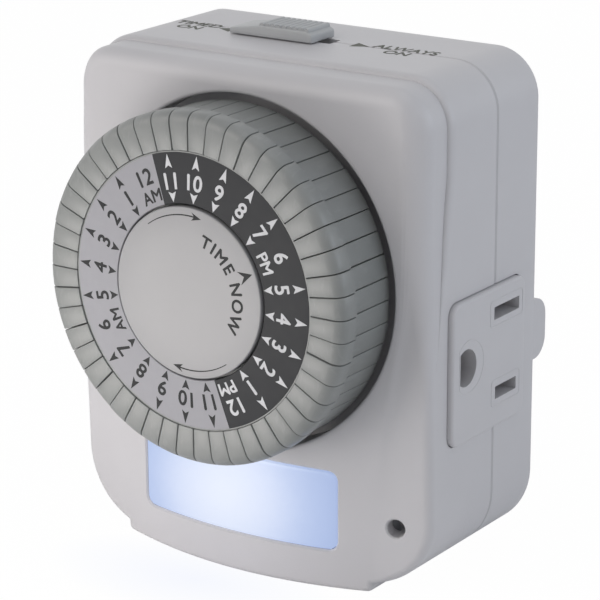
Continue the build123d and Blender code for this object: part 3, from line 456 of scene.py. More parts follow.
def shared_holes():
    """Cutters for the openings that each casing has one half of."""
    plate_hole = rounded_box(PLATE_HALF_DEPTH + PLATE_GAP, PLATE_HALF_HEIGHT + PLATE_GAP, PLATE_CORNER,
                             centre=(PLATE_Y, PLATE_Z))
    stem_slot = rounded_box(STEM_SLOT_HALF_LENGTH, STEM_SLOT_HALF_DEPTH, STEM_SLOT_CORNER,
                            centre=(STEM_SLOT_X, PARTING))
    start = -WALL - CUT_PAST
    return [prism("plate_hole", plate_hole, facing_right, HALF_WIDTH + start, HALF_WIDTH + CUT_PAST),
            prism("stem_slot", stem_slot, facing_up, BODY_TOP + start, BODY_TOP + CUT_PAST)]


def rear_profile(angle):
    """Section of the rear casing along one ray: parting face, side wall, crisp rear edge, rear face."""
    wall = body_reach(angle, WALL)
    body = body_reach(angle)
    seam = PARTING + SEAM_CHAMFER
    end = REAR_FACE - REAR_EDGE
    profile = [(wall, REAR_INNER), (wall, PARTING), (body_reach(angle, SEAM_CHAMFER), PARTING), (body, seam)]
    profile += [(body, y) for y in spaced(seam, end, 6)]
    for lean in EDGE_LEANS:
        radius = body_reach(angle, REAR_EDGE * (1 - math.cos(lean)))
        profile.append((radius, end + REAR_EDGE * math.sin(lean)))
    profile += [(radius, REAR_FACE) for radius in spaced(profile[-1][0], 0.0, 5)]
    return profile + [(0.0, REAR_INNER)]


def plug_boss_profile(angle):
    """Section of the round boss under the blades, the same on every ray, its rim broken by two flats."""
    sunk = REAR_FACE - BOSS_SINK
    nick = 0.3 * BOSS_EDGE
    return [(0.0, sunk), (BOSS_RADIUS, sunk), (BOSS_RADIUS, -BOSS_EDGE), (BOSS_RADIUS - nick, -nick),
            (BOSS_RADIUS - BOSS_EDGE, 0.0), (0.0, 0.0)]


def wall_pad(side):
    """Rounded pad at one edge of the rear face, which bears on the wall plate."""
    outline = [(REAR_FACE - PAD_SINK, PAD_BOTTOM)]
    for centre, start in ((PAD_BOTTOM + PAD_ROUND, -QUARTER), (PAD_TOP - PAD_ROUND, 0.0)):
        for a in [start] + spaced(start, start + QUARTER, 8):
            outline.append((-PAD_ROUND + PAD_ROUND * math.cos(a), centre + PAD_ROUND * math.sin(a)))
    outline.append((REAR_FACE - PAD_SINK, PAD_TOP))
    return prism("wall_pad", outline, lambda u, v, depth: (side * depth, u, v), PAD_INNER, PAD_OUTER)


# moulded ABS: an even, faintly grained satin that turns soft light into slow gradients
moulded_abs = moulded_plastic("moulded grey ABS", CASING_GREY, CASING_SHADE, 0.42, 0.35, 0.012)
rear = polar_shell("rear_shell", casing_rays(), rear_profile, DIAL_Z)
screw_holes = [prism("screw_hole", circle(SCREW_HEAD, place), facing_front,
                     REAR_INNER - CUT_PAST, REAR_FACE + CUT_PAST) for place in SCREW_PLACES]
cut(rear, *shared_holes(), *screw_holes)
plug_boss = polar_shell("plug_boss", even_rays(90), plug_boss_profile, (PAD_TOP + PAD_BOTTOM) / 2)
rear = join("rear_shell", [rear, plug_boss, wall_pad(1), wall_pad(-1)])
shade_smooth(rear)
fit_piece(rear, moulded_abs, "housing", "casing", "rear_casing")

# ---- Plug -------------------------------------------------------------------
# Two flat blades and a round ground pin, brass with a dull nickel plate, held
# in the rear casing and joined to the strips behind it.
NICKEL = "#c9c4b8"
NICKEL_WORN = "#b7ab8e"
DRAWING_LINES = 0.25
WORN_PATCH = 5.0


def plated_metal(name, colour, worn, roughness):
    """Metal with fine drawing lines along its length and a tone that varies where it is handled."""
    material, tree, place = new_material(name)
    stretch = add_node(tree, "ShaderNodeMapping", {"Vector": place, "Scale": (1.0, 0.06, 1.0)})
    lines = add_node(tree, "ShaderNodeTexNoise", {
        "Vector": stretch.outputs[0], "Scale": 1 / (DRAWING_LINES * MM), "Detail": 3.0})
    patch = add_node(tree, "ShaderNodeTexNoise", {
        "Vector": place, "Scale": 1 / (WORN_PATCH * MM), "Detail": 2.0})
    base = add_node(tree, "ShaderNodeMix", {
        "Factor": patch.outputs["Fac"], "A": linear(colour), "B": linear(worn)}, data_type="RGBA")
    gloss = add_node(tree, "ShaderNodeMapRange", {
        "Value": lines.outputs["Fac"], "To Min": roughness - 0.08, "To Max": roughness + 0.1})
    bump = add_node(tree, "ShaderNodeBump", {
        "Height": lines.outputs["Fac"], "Distance": 0.004 * MM, "Strength": 1.0})
    shader = add_node(tree, "ShaderNodeBsdfPrincipled", {
        "Base Color": base.outputs["Result"], "Roughness": gloss.outputs["Result"],
        "Normal": bump.outputs["Normal"], "Metallic": 1.0})
    add_node(tree, "ShaderNodeOutputMaterial", {"Surface": shader.outputs["BSDF"]})
    return material


def dress(material, *names):
    """Gives CAD nodes their finish."""
    for name in names:
        nodes[name].data.materials.clear()
        nodes[name].data.materials.append(material)


# nickel-plated brass: pale warm metal, with the brass near the surface where it wears
plated_brass = plated_metal("nickel plated brass", NICKEL, NICKEL_WORN, 0.3)
dress(plated_brass, "plug_blade_hot", "plug_blade_neutral", "ground_pin")

# ---- Strips and contacts ----------------------------------------------------
# Rolled brass strips from the blades to the switch and to the clips of the side
# outlet, blanked and bent, and left bare.
BRASS = "#d8b56a"
BRASS_DULL = "#c49c4e"

# rolled brass: yellow metal with the rolling lines still in it
rolled_brass = plated_metal("rolled brass", BRASS, BRASS_DULL, 0.32)
dress(rolled_brass, "neutral_contact", "hot_feed_strip", "hot_outlet_contact", "ground_contact",
      "contact_blade")

# ---- Works ------------------------------------------------------------------
# The dark works plate carries the motor, the gears and the follower. It stands
# on four pillars of the front casing, with thread-forming screws.
WINDING_DARK = "#7c3f1e"
# the bright copper is a painted highlight along each turn of wire
WINDING_PAINTED_HIGHLIGHT = "#c06a38"
# the turns of wire are drawn coarser than they are, so that they show
WIRE_PITCH = 1.78
# how far a wave texture turns over one unit of its scale
WAVE_RADIANS = 20


def enamelled_winding():
    """Copper wire wound in rings: fine ridges round the motor's axis, with a painted highlight along each
    turn.
    """
    material, tree, place = new_material("enamelled copper winding")
    wire = add_node(tree, "ShaderNodeTexWave", {
        "Vector": place, "Scale": math.tau / (WAVE_RADIANS * WIRE_PITCH * MM), "Distortion": 0.2},
        bands_direction="Y")
    # the colour runs from the darker copper to a painted highlight along each turn
    base = add_node(tree, "ShaderNodeMix", {
        "Factor": wire.outputs["Fac"], "A": linear(WINDING_DARK), "B": linear(WINDING_PAINTED_HIGHLIGHT)},
        data_type="RGBA")
    bump = add_node(tree, "ShaderNodeBump", {
        "Height": wire.outputs["Fac"], "Distance": 0.05 * MM, "Strength": 1.0})
    shader = add_node(tree, "ShaderNodeBsdfPrincipled", {
        "Base Color": base.outputs["Result"], "Roughness": 0.3,
        "Normal": bump.outputs["Normal"], "Metallic": 0.9})
    add_node(tree, "ShaderNodeOutputMaterial", {"Surface": shader.outputs["BSDF"]})
    return material


# zinc-plated steel: bright blue-grey metal, used for screws and turned pins
zinc_steel = plated_metal("zinc plated steel", "#c3c6ca", "#aeb0b3", 0.34)
dress(zinc_steel, "case_screws", "plate_screws", "spindle", "intermediate_arbor", "lever_pin", "motor_shaft")
# drawn steel can, zinc plated: the same metal, duller from deep drawing
dress(plated_metal("zinc plated can", "#b9bdc0", "#a4a8aa", 0.4), "motor_can")
# filled ABS: the dark plain moulding of a plate that nobody sees
dress(moulded_plastic("filled black ABS", "#4a4c4f", "#3f4143", 0.5, 0.4, 0.015), "works_plate")
# natural acetal: milky, slightly waxy gears
acetal = moulded_plastic("natural acetal", "#e6e5da", "#dcdace", 0.35, 0.5, 0.006)
dress(acetal, "dial_gear", "intermediate_wheel", "motor_pinion", "follower_lever", "mode_slider")
# phenolic: the brown-black, slightly speckled body of a snap switch
phenolic = moulded_plastic("moulded phenolic", "#262324", "#1c1a1b", 0.38, 0.3, 0.01)
dress(phenolic, "switch_body", "switch_plunger")
# enamelled copper: glossy red-brown turns with a painted highlight along each
dress(enamelled_winding(), "motor_coil")

# ---- Front casing -----------------------------------------------------------
# The half shell in front of the parting line, moulded in the same grey ABS. A
# raised shield surrounds the dial's well and swells into a bowed chin, with a
# slanted flank on each side of it, and the chin takes the night light's window.
SHIELD_INSET = 0.8
SHIELD_ROOT = -28.6
SHIELD_FRONT = -35.4
# the shield's step comes in over this stretch of height, given from the dial's axis
SHIELD_FADE = (-11.0, 26.0)
# the groove behind the shield leans forward between two heights
GROOVE_LEAN = 0.12
GROOVE_LEAN_TOP = 24.0
GROOVE_LEAN_END = -4.0
SHOULDER = 1.4
CHIN_CORNER = 1.0
CHIN_ARCH = 0.2
CHIN_REAR = SHIELD_FRONT + 7.9
CHIN_BLEND = 0.08
# only rays with a lower sine can meet the chin, and a lip wider than this has a back of its own
CHIN_TOP_SINE = -0.3
CHIN_LIP = 0.2
WELL_RADIUS = 27.3
WELL_FLOOR = SHIELD_FRONT + 4.5
RIM_ROUND = 0.5
FLOOR_BACK = WELL_FLOOR + 1.5
HUB_BORE = 7.06
# how round the front edge is, and the sines of the rays over which that changes
TOP_EDGE_ROUND = 2.5
FLANK_EDGE_ROUND = 1.3
FLANK_EDGE_FADE = (-0.1, 0.5)
CORNER_EXTRA_ROUND = 0.5
CORNER_EDGE_FADE = (0.45, 0.2)
CHIN_EDGE_ROUND = 0.8
CHIN_EDGE_FADE = (0.86, 0.045)
# the least step between two rows of points, so that they never fall together
LEAST_STEP = 0.05
# the ridge falls over about this width to the flank
RIDGE_FALL = 1.0
FLANK_WIDTH = 7.6
# weights of the samples across a ridge that round it
RIDGE_SAMPLES = ((-1.0, 1), (-0.5, 3), (0.0, 4), (0.5, 3), (1.0, 1))
# Each row holds a height, the half width of the bowed front there, how far its
# ridges stand before the shield's plane, its bow, how far the flank is set back
# behind that plane, how far the flank slants back, and how soft the ridge is.
STATIONS = [
    (CHIN_BOTTOM, 23.2, -0.5, 4.0, 0.5, 1.5, 0.3),
    (-30.9, 23.7, -0.4, 3.7, 0.5, 1.5, 0.35),
    (-14.0, 25.4, -0.1, 2.4, 0.5, 1.3, 0.4),
    (-4.0, 27.4, 0.1, 1.4, 0.5, 0.8, 0.6),
    (DIAL_Z, 28.8, 0.1, 0.9, 0.6, 0.3, 1.0),
    (22.0, 29.0, 0.0, 0.3, 0.9, 0.1, 1.2),
    (BODY_TOP, 29.0, 0.0, 0.2, 1.0, 0.1, 1.2),
]
WINDOW_SIDE = 17.95
WINDOW_TOP = -22.2
WINDOW_BOTTOM = -34.9
WINDOW_Z = (WINDOW_TOP + WINDOW_BOTTOM) / 2
WINDOW_CORNER = 1.5
WINDOW_CHAMFER = 0.3
# how far the window's cutter goes on along the chamfer, and then straight out
WINDOW_LEAD = 0.2
WINDOW_CLEAR = 4.0
LENS_BACK = SHIELD_FRONT + 0.9
LAMP_ROOM_HALF_WIDTH = WINDOW_SIDE + 2.4
LAMP_ROOM_HALF_HEIGHT = 7.6
LAMP_ROOM_Z = WINDOW_Z - 0.1
SENSOR_PLACE = (27.0, -30.0)
SENSOR_RADIUS = 1.45
SENSOR_CHAMFER = 0.25
SENSOR_LEAD = 0.15
SENSOR_DEPTH = 4.5


def fade(value, start, length):
    """Goes smoothly from 0 to 1 while a value passes over a length from a start."""
    share = min(max((value - start) / length, 0.0), 1.0)
    return share * share * (3 - 2 * share)


def blend(first, second, share):
    """A value part of the way from one to another."""
    return first + (second - first) * share


def soft_max(a, b, softness):
    """The greater of two values, rounded over where they cross."""
    return (a + b + math.sqrt((a - b) ** 2 + 4 * softness ** 2)) / 2


def station_values(z):
    """The stations' values at a height, along a smooth cubic through them."""
    z = min(max(z, STATIONS[0][0]), STATIONS[-1][0])
    index = next(i for i in range(len(STATIONS) - 1) if z <= STATIONS[i + 1][0])
    low, high = STATIONS[index], STATIONS[index + 1]
    before = STATIONS[max(index - 1, 0)]
    after = STATIONS[min(index + 2, len(STATIONS) - 1)]
    span = high[0] - low[0]
    t = (z - low[0]) / span
    values = []
    for column in range(1, len(low)):
        limit = 3 * abs(high[column] - low[column])
        start = (high[column] - before[column]) / (high[0] - before[0]) * span
        start = min(max(start, -limit), limit)
        end = (after[column] - low[column]) / (after[0] - low[0]) * span
        end = min(max(end, -limit), limit)
        a = 2 * t ** 3 - 3 * t ** 2 + 1
        b = t ** 3 - 2 * t ** 2 + t
        c = t ** 3 - t ** 2
        values.append(a * low[column] + b * start + (1 - a) * high[column] + c * end)
    return values


def front_depth(x, z):
    """Y of the front surface: a bowed front that falls over a softened ridge to a slanted flank."""
    ridge, rise, bow, set_back, slant, softness = station_values(z)
    ridge_front = SHIELD_FRONT - rise
    drop = rise + set_back

    def section(x):
        beyond = abs(x) - ridge
        if beyond < 0:
            return ridge_front - bow * (1 - (x / ridge) ** 2)
        return ridge_front + drop * (1 - math.exp(-beyond / RIDGE_FALL)) + slant * beyond / FLANK_WIDTH

    return sum(w * section(x + softness * s) for s, w in RIDGE_SAMPLES) / sum(w for _, w in RIDGE_SAMPLES)


def shield_share(angle):
    """How much of the shield's step is left at a ray: all of it at the top, none below the dial's axis."""
    return fade(math.sin(angle) * body_reach(angle), *SHIELD_FADE)


def shield_reach(angle, inset=0.0):
    """The shield's outline, a step inside the trunk's at the top and one with it below."""
    return body_reach(angle, inset + SHIELD_INSET * shield_share(angle))


def chin_reach(angle, inset=0.0):
    """The lip of the chin below the dial, joined to the shield's outline."""
    shield = shield_reach(angle, inset)
    if math.sin(angle) > CHIN_TOP_SINE:
        return shield
    chin = reach(angle, CHIN_SIDE - inset, CHIN_BOTTOM + inset, 2 * DIAL_Z - CHIN_BOTTOM,
                 max(CHIN_CORNER - inset, LEAST_CORNER), arch=CHIN_ARCH)
    return soft_max(shield, chin, CHIN_BLEND)


def edge_round(angle):
    """How round the front edge is along one ray."""
    rise = math.sin(angle)
    edge = blend(TOP_EDGE_ROUND, FLANK_EDGE_ROUND, fade(-rise, *FLANK_EDGE_FADE))
    edge += CORNER_EXTRA_ROUND * fade(rise, *CORNER_EDGE_FADE)
    return blend(edge, CHIN_EDGE_ROUND, fade(-rise, *CHIN_EDGE_FADE))


def casing_profile(angle):
    """Section of the casing along one ray from the dial axis: from the hub's bore out and back in."""
    def at(radius):
        return radius * math.cos(angle), DIAL_Z + radius * math.sin(angle)

    edge = edge_round(angle)
    outer = chin_reach(angle)
    shield = shield_reach(angle)
    body = body_reach(angle)
    height = DIAL_Z + body * math.sin(angle)

    # the dial's well and its rim
    profile = [(HUB_BORE, FLOOR_BACK), (HUB_BORE, WELL_FLOOR)]
    profile += [(radius, WELL_FLOOR) for radius in spaced(HUB_BORE, WELL_RADIUS, 6)]
    inner = WELL_RADIUS + RIM_ROUND
    rim = front_depth(*at(inner)) + RIM_ROUND
    profile += [(WELL_RADIUS, y) for y in spaced(WELL_FLOOR, rim, 4)]
    profile += [(inner - RIM_ROUND * math.cos(a), rim - RIM_ROUND * math.sin(a)) for a in EDGE_LEANS[:2]]
    # the front, its rounded edge and the lip of the chin
    last = chin_reach(angle, edge)
    profile += [(radius, front_depth(*at(radius))) for radius in [inner] + spaced(inner, last, 33)]
    for lean in spaced(0.0, QUARTER, 8):
        radius = chin_reach(angle, edge * (1 - math.sin(lean)))
        profile.append((radius, front_depth(*at(radius)) + edge * (1 - math.cos(lean))))
    wall_top = profile[-1][1]
    skirt_end = CHIN_REAR if outer > shield + CHIN_LIP else wall_top
    profile += [(outer, y) for y in spaced(wall_top, skirt_end, 3)]
    profile += [(shield, skirt_end)]
    # the groove behind the shield, the shoulder and the side wall
    groove = SHIELD_ROOT - GROOVE_LEAN * max(GROOVE_LEAN_TOP - max(height, GROOVE_LEAN_END), 0.0)
    groove = max(groove, skirt_end + LEAST_STEP)
    profile += [(shield, y) for y in spaced(skirt_end, groove, 2)]
    shoulder = max(SHOULDER * shield_share(angle), LEAST_STEP)
    for lean in [0.0] + spaced(0.0, QUARTER, 8):
        profile.append((blend(shield, body, math.sin(lean)), groove + shoulder * (1 - math.cos(lean))))
    profile += [(body, y) for y in spaced(profile[-1][1], PARTING - SEAM_CHAMFER, 8)]
    wall = body_reach(angle, WALL)
    return profile + [(body_reach(angle, SEAM_CHAMFER), PARTING), (wall, PARTING), (wall, FLOOR_BACK)]


def window_reach(angle, grow):
    """The window's outline about its own middle, grown all round."""
    return reach(angle, WINDOW_SIDE + grow, WINDOW_BOTTOM - grow, WINDOW_TOP + grow, WINDOW_CORNER + grow,
                 WINDOW_Z)


def window_cutter():
    """Opening for the lens, with a small chamfer that follows the bowed surface."""
    def outline(grow):
        reaches = [(ray, window_reach(ray, grow)) for ray in even_rays(240)]
        return [(r * math.cos(ray), WINDOW_Z + r * math.sin(ray)) for ray, r in reaches]

    def along_surface(grow, depth):
        return [(x, front_depth(x, z) + depth, z) for x, z in outline(grow)]

    rings = [[(x, FLOOR_BACK + CUT_PAST, z) for x, z in outline(0.0)],
             along_surface(0.0, WINDOW_CHAMFER),
             along_surface(WINDOW_CHAMFER, 0.0),
             along_surface(WINDOW_CHAMFER + WINDOW_LEAD, -WINDOW_LEAD),
             along_surface(WINDOW_CHAMFER + WINDOW_LEAD, -WINDOW_CLEAR)]
    return loft("window_cutter", rings)


def sensor_cutter():
    """Round hole square to the slanted flank, with a chamfer, for the light sensor."""
    x, z = SENSOR_PLACE
    slope = front_depth(x + 0.5, z) - front_depth(x - 0.5, z)
    out = Vector((slope, -1, 0)).normalized()
    side = Vector((-out.y, out.x, 0))
    middle = Vector((x, front_depth(x, z), z))
    wide = SENSOR_RADIUS + SENSOR_CHAMFER + SENSOR_LEAD
    rings = []
    for radius, along in ((SENSOR_RADIUS, -SENSOR_DEPTH), (SENSOR_RADIUS, -SENSOR_CHAMFER),
                          (wide, SENSOR_LEAD), (wide, SENSOR_LEAD + CUT_PAST)):
        centre = middle + out * along
        rings.append([centre + side * u + Vector((0, 0, v)) for u, v in circle(radius, steps=40)])
    return loft("sensor_cutter", rings)


shell = polar_shell("front_shell", casing_rays(), casing_profile, DIAL_Z)
lamp_room = rounded_box(LAMP_ROOM_HALF_WIDTH, LAMP_ROOM_HALF_HEIGHT, WINDOW_CORNER,
                        centre=(0, LAMP_ROOM_Z))
cut(shell,
    prism("lamp_room", lamp_room, facing_front, LENS_BACK, FLOOR_BACK + CUT_PAST),
    window_cutter(),
    sensor_cutter(),
    *shared_holes())
shade_smooth(shell)
fit_piece(shell, moulded_abs, "housing", "casing", "front_casing")

# ---- Night light ------------------------------------------------------------
# A small circuit board in the chin carries two lamps, their dropper capacitor and
# the leads of a light sensor, behind a frosted window of pale blue styrene.
LENS_SET_BACK = 0.12
LENS_GAP = 0.12
LENS_EDGE = 0.25
STYRENE = "#2a3444"
STYRENE_IOR = 1.59
FROST_SIZE = 1.2
GLOW_PLACE = (-1.845, -29.584)
GLOW_REACH = (20.5, 17.2)
GLOW_STOPS = [(0.0, "#9fb0d6"), (0.3, "#b2c1e2"), (0.55, "#cfd8ee"), (0.85, "#dde3f1")]
RESIST_GREEN = "#1f5c33"
TRACK_GREEN = "#2f7a45"
TRACK_PITCH = 2.5
TRACK_SHARE = 0.45
TRACK_HEIGHT = 0.035


def lens_profile(angle):
    """Section of the lens along one ray: its flat back, bowed face and rounded rim."""
    edge = window_reach(angle, -LENS_GAP)
    inside = window_reach(angle, -LENS_GAP - LENS_EDGE)

    def face(radius):
        return front_depth(radius * math.cos(angle), WINDOW_Z + radius * math.sin(angle)) + LENS_SET_BACK

    profile = [(0.0, LENS_BACK), (0.0, face(0.0))]
    profile += [(radius, face(radius)) for radius in spaced(0.0, inside, 16)]
    for lean in spaced(0.0, QUARTER, 3):
        radius = blend(inside, edge, math.sin(lean))
        profile.append((radius, face(radius) + LENS_EDGE * (1 - math.cos(lean))))
    return profile + [(edge, LENS_BACK)]


def frosted_window():
    """Frosted styrene lit from behind: white over the lamps, blue towards its ends."""
    material, tree, place = new_material("lit frosted styrene")
    spread = add_node(tree, "ShaderNodeMapping", {
        "Vector": place,
        "Location": (-GLOW_PLACE[0] / GLOW_REACH[0], 0, -GLOW_PLACE[1] / GLOW_REACH[1]),
        "Scale": (1 / (GLOW_REACH[0] * MM), 0, 1 / (GLOW_REACH[1] * MM))})
    pool = add_node(tree, "ShaderNodeTexGradient", {"Vector": spread.outputs[0]}, gradient_type="SPHERICAL")
    frost = add_node(tree, "ShaderNodeTexNoise", {
        "Vector": place, "Scale": 1 / (FROST_SIZE * MM), "Detail": 4.0})
    haze = add_node(tree, "ShaderNodeMapRange", {
        "Value": frost.outputs["Fac"], "To Min": -0.03, "To Max": 0.03})
    level = add_node(tree, "ShaderNodeMath", {
        0: pool.outputs["Fac"], 1: haze.outputs["Result"]}, operation="ADD")
    ramp = add_node(tree, "ShaderNodeValToRGB", {"Fac": level.outputs[0]})
    ramp.color_ramp.interpolation = "B_SPLINE"
    while len(ramp.color_ramp.elements) < len(GLOW_STOPS):
        ramp.color_ramp.elements.new(0.5)
    for element, (position, colour) in zip(ramp.color_ramp.elements, GLOW_STOPS):
        element.position = position
        element.color = linear(colour)
    shader = add_node(tree, "ShaderNodeBsdfPrincipled", {
        "Base Color": linear(STYRENE), "Roughness": 0.35, "IOR": STYRENE_IOR,
        "Emission Color": ramp.outputs["Color"], "Emission Strength": 1.0})
    add_node(tree, "ShaderNodeOutputMaterial", {"Surface": shader.outputs["BSDF"]})
    return material


def circuit_board():
    """Green solder resist over copper tracks that run across the board."""
    material, tree, place = new_material("green solder resist")
    cells = add_node(tree, "ShaderNodeTexVoronoi", {
        "Vector": place, "Scale": 1 / (TRACK_PITCH * MM)}, distance="MANHATTAN", feature="F1")
    track = add_node(tree, "ShaderNodeMath", {
        0: cells.outputs["Distance"], 1: TRACK_SHARE}, operation="GREATER_THAN")
    base = add_node(tree, "ShaderNodeMix", {
        "Factor": track.outputs[0], "A": linear(RESIST_GREEN), "B": linear(TRACK_GREEN)}, data_type="RGBA")
    bump = add_node(tree, "ShaderNodeBump", {
        "Height": track.outputs[0], "Distance": TRACK_HEIGHT * MM, "Strength": 1.0})
    shader = add_node(tree, "ShaderNodeBsdfPrincipled", {
        "Base Color": base.outputs["Result"], "Roughness": 0.3, "Normal": bump.outputs["Normal"], "IOR": 1.5})
    add_node(tree, "ShaderNodeOutputMaterial", {"Surface": shader.outputs["BSDF"]})
    return material


lens = polar_shell("night_light_window", even_rays(180), lens_profile, WINDOW_Z)
shade_smooth(lens)
# frosted styrene: a soft even glow with no lamp to be seen in it
fit_piece(lens, frosted_window(), "housing", "night_light_lens", "window_lens")
# solder resist: a glossy green coat with the tracks standing up under it
dress(circuit_board(), "lamp_board")
# clear epoxy: water-clear domes with a slightly uneven cast surface
dress(moulded_plastic("cast epoxy", "#dfe6f2", "#cfd9ea", 0.12, 0.6, 0.004), "lamps")
# dark epoxy: a smoky, glossy sensor that hardly shows in its hole
dress(moulded_plastic("dark sensor epoxy", "#5d6064", "#4a4d51", 0.2, 0.6, 0.004), "light_sensor")
# dipped film capacitor: orange-brown lacquer with the slow waves of dipping
dress(moulded_plastic("dipped film", "#a8431f", "#963a1a", 0.25, 1.2, 0.03), "dropper_capacitor")

# ---- Side outlet ------------------------------------------------------------
# A plate of the same ABS that slides into both casings before they close, with
# two slots, a ground hole and a fine raised outline round each of them.
SLOT_Y = -13.6
SLOT_Z = -5.95
SLOT_RISE = 6.35
SLOT_HALF_HEIGHT = 1.0
SLOT_CORNER = 0.15
NEUTRAL_HALF = 3.7
HOT_HALF = 3.1
GROUND_Y = SLOT_Y - 11.6
GROUND_RADIUS = 2.9
GROUND_FLAT = 1.7
RELIEF_WIDTH = 0.2
RELIEF_RISE = 0.06
RELIEF_ROOT = 0.2
RELIEF_EDGE = 0.03
RELIEF_DRAFT = 0.15
RELIEF_CORNER = 0.5
SLOT_RELIEF_GAP = 0.95
GROUND_RELIEF_RADIUS = GROUND_RADIUS + 1.1
GROUND_RELIEF_FLAT = GROUND_FLAT + 1.0
GROUND_RELIEF_SHIFT = 0.9
PLATE_BACK = 30.3
PLATE_PROUD = 1.0
PLATE_FACE = HALF_WIDTH + PLATE_PROUD - RELIEF_RISE
PLATE_ROUND = 0.55


def slot_outline(half_length, side, grow, corner, steps=4):
    """Outline of the slot above or below the middle, grown all round."""
    return rounded_box(half_length + grow, SLOT_HALF_HEIGHT + grow, corner, steps,
                       (SLOT_Y, SLOT_Z + side * SLOT_RISE))


def d_outline(radius, flat, shift=0.0, steps=28):
    """D shape, flat towards the front, its centre shifted towards the rear."""
    start = math.acos(flat / radius) - math.pi
    return [(GROUND_Y + shift + radius * math.cos(a), SLOT_Z + radius * math.sin(a))
            for a in [start] + spaced(start, -start, steps)]


def relief(name, inner, outer):
    """Fine raised line between two like outlines on the plate's face, its top a little narrower."""
    low = PLATE_FACE - RELIEF_ROOT
    high = PLATE_FACE + RELIEF_RISE
    section = [(0.0, low), (0.0, high - RELIEF_EDGE), (RELIEF_DRAFT, high)]
    section += [(1 - share, x) for share, x in reversed(section)]
    rings = [[(x, blend(o[0], n[0], share), blend(o[1], n[1], share)) for o, n in zip(outer, inner)]
             for share, x in section]
    return loft(name, rings, closed=True, merge=0.0005)


def outlet_plate():
    """The plate with its rounded rim."""
    levels = [(PLATE_BACK, 0.0), (PLATE_FACE - PLATE_ROUND, 0.0)]
    for lean in spaced(0.0, QUARTER, 5):
        levels.append((PLATE_FACE - PLATE_ROUND * (1 - math.sin(lean)), PLATE_ROUND * (1 - math.cos(lean))))
    rings = []
    for x, inset in levels:
        outline = rounded_box(PLATE_HALF_DEPTH - inset, PLATE_HALF_HEIGHT - inset, PLATE_CORNER - inset, 8,
                              (PLATE_Y, PLATE_Z))
        rings.append([(x, y, z) for y, z in outline])
    return loft("side_outlet", rings)


openings = []
reliefs = []
for half_length, side in ((NEUTRAL_HALF, 1), (HOT_HALF, -1)):
    openings.append(slot_outline(half_length, side, 0.0, SLOT_CORNER, 2))
    inner = slot_outline(half_length, side, SLOT_RELIEF_GAP, RELIEF_CORNER)
    outer = slot_outline(half_length, side, SLOT_RELIEF_GAP + RELIEF_WIDTH, RELIEF_CORNER + RELIEF_WIDTH)
    reliefs.append(relief("slot_relief", inner, outer))
openings.append(d_outline(GROUND_RADIUS, GROUND_FLAT))
inner = d_outline(GROUND_RELIEF_RADIUS, GROUND_RELIEF_FLAT, GROUND_RELIEF_SHIFT)
outer = d_outline(GROUND_RELIEF_RADIUS + RELIEF_WIDTH, GROUND_RELIEF_FLAT + RELIEF_WIDTH, GROUND_RELIEF_SHIFT)
reliefs.append(relief("ground_relief", inner, outer))
plate = outlet_plate()
cut(plate, *[prism("opening", outline, facing_right, PLATE_BACK - CUT_PAST, PLATE_FACE + CUT_PAST)
             for outline in openings])
plate = join("side_outlet", [plate] + reliefs)
shade_smooth(plate, 28)
fit_piece(plate, moulded_abs, "housing", "outlet_white", "outlet_plate")

# ---- Dial drum and tappets --------------------------------------------------
# Forty-eight push tappets of mid grey ABS slide on the rim of the drum, one for
# each half hour. Their heads overhang their legs and leave a hair gap between.
TAPPETS_PER_BODY = 2
TAPPET_BODIES = 24
PITCH = 360 / (TAPPETS_PER_BODY * TAPPET_BODIES)
FIRST_EDGE = 0.2
DIAL_FACE = -48.4
DRUM_RADIUS = 21.275
HEAD_RADIUS = 26.95
HEAD_ROUND = 1.7
HEAD_DEPTH = 3.6
LEG_RADIUS = 26.25
LEG_STEP = 0.3
TAPPET_LENGTH = 13.2
TAPPET_GAP = 0.13
TAPPET_EDGE = 0.14
# how far a loose tappet may stand off its place, round the dial in radians and in depth
SWAY = 0.0012
DEPTH_PLAY = 0.16
PLAY_SEED = 100.0
TAPPET_GREY = "#878988"
TAPPET_SHADE = "#7c7f7e"
TAPPET_STREAK = "#9b9d9c"
TAPPET_CLOUD = 9.0
STREAK_SIZE = 0.8
TAPPET_GRAIN = 0.3
TAPPET_GRAIN_DEPTH = 0.01


def soften_edges(piece, width, segments, angle):
    """Rounds the edges of a piece that are sharper than an angle."""
    bevel = piece.modifiers.new("edges", "BEVEL")
    bevel.width = width * MM
    bevel.segments = segments
    bevel.limit_method = "ANGLE"
    bevel.angle_limit = math.radians(angle)
    apply_modifiers(piece)


def tappet_blank():
    """One tappet, its middle on the +X ray from the dial axis."""
    neck = DIAL_FACE + HEAD_DEPTH
    foot = DIAL_FACE + TAPPET_LENGTH
    section = [(DRUM_RADIUS, DIAL_FACE)]
    for lean in [0.0] + spaced(0.0, QUARTER, 5):
        section.append((HEAD_RADIUS - HEAD_ROUND * (1 - math.sin(lean)),
                        DIAL_FACE + HEAD_ROUND * (1 - math.cos(lean))))
    section += [(HEAD_RADIUS, neck), (LEG_RADIUS, neck + LEG_STEP), (LEG_RADIUS, foot), (DRUM_RADIUS, foot)]
    rings = []
    for side in (-1, 0, 1):
        ring = []
        for radius, y in section:
            angle = side * (math.radians(PITCH / 2) - TAPPET_GAP / 2 / radius)
            ring.append((radius * math.cos(angle), y, DIAL_Z + radius * math.sin(angle)))
        rings.append(ring)
    piece = loft("tappet_blank", rings)
    soften_edges(piece, TAPPET_EDGE, 2, 25)
    return piece


def new_geometry(name, sockets):
    """An empty geometry tree with these named inputs, and the sockets that give them."""
    tree = bpy.data.node_groups.new(name, "GeometryNodeTree")
    for label, kind in sockets.items():
        tree.interface.new_socket(name=label, in_out="INPUT", socket_type=kind)
    tree.interface.new_socket(name="Geometry", in_out="OUTPUT", socket_type="NodeSocketGeometry")
    return tree, add_node(tree, "NodeGroupInput").outputs


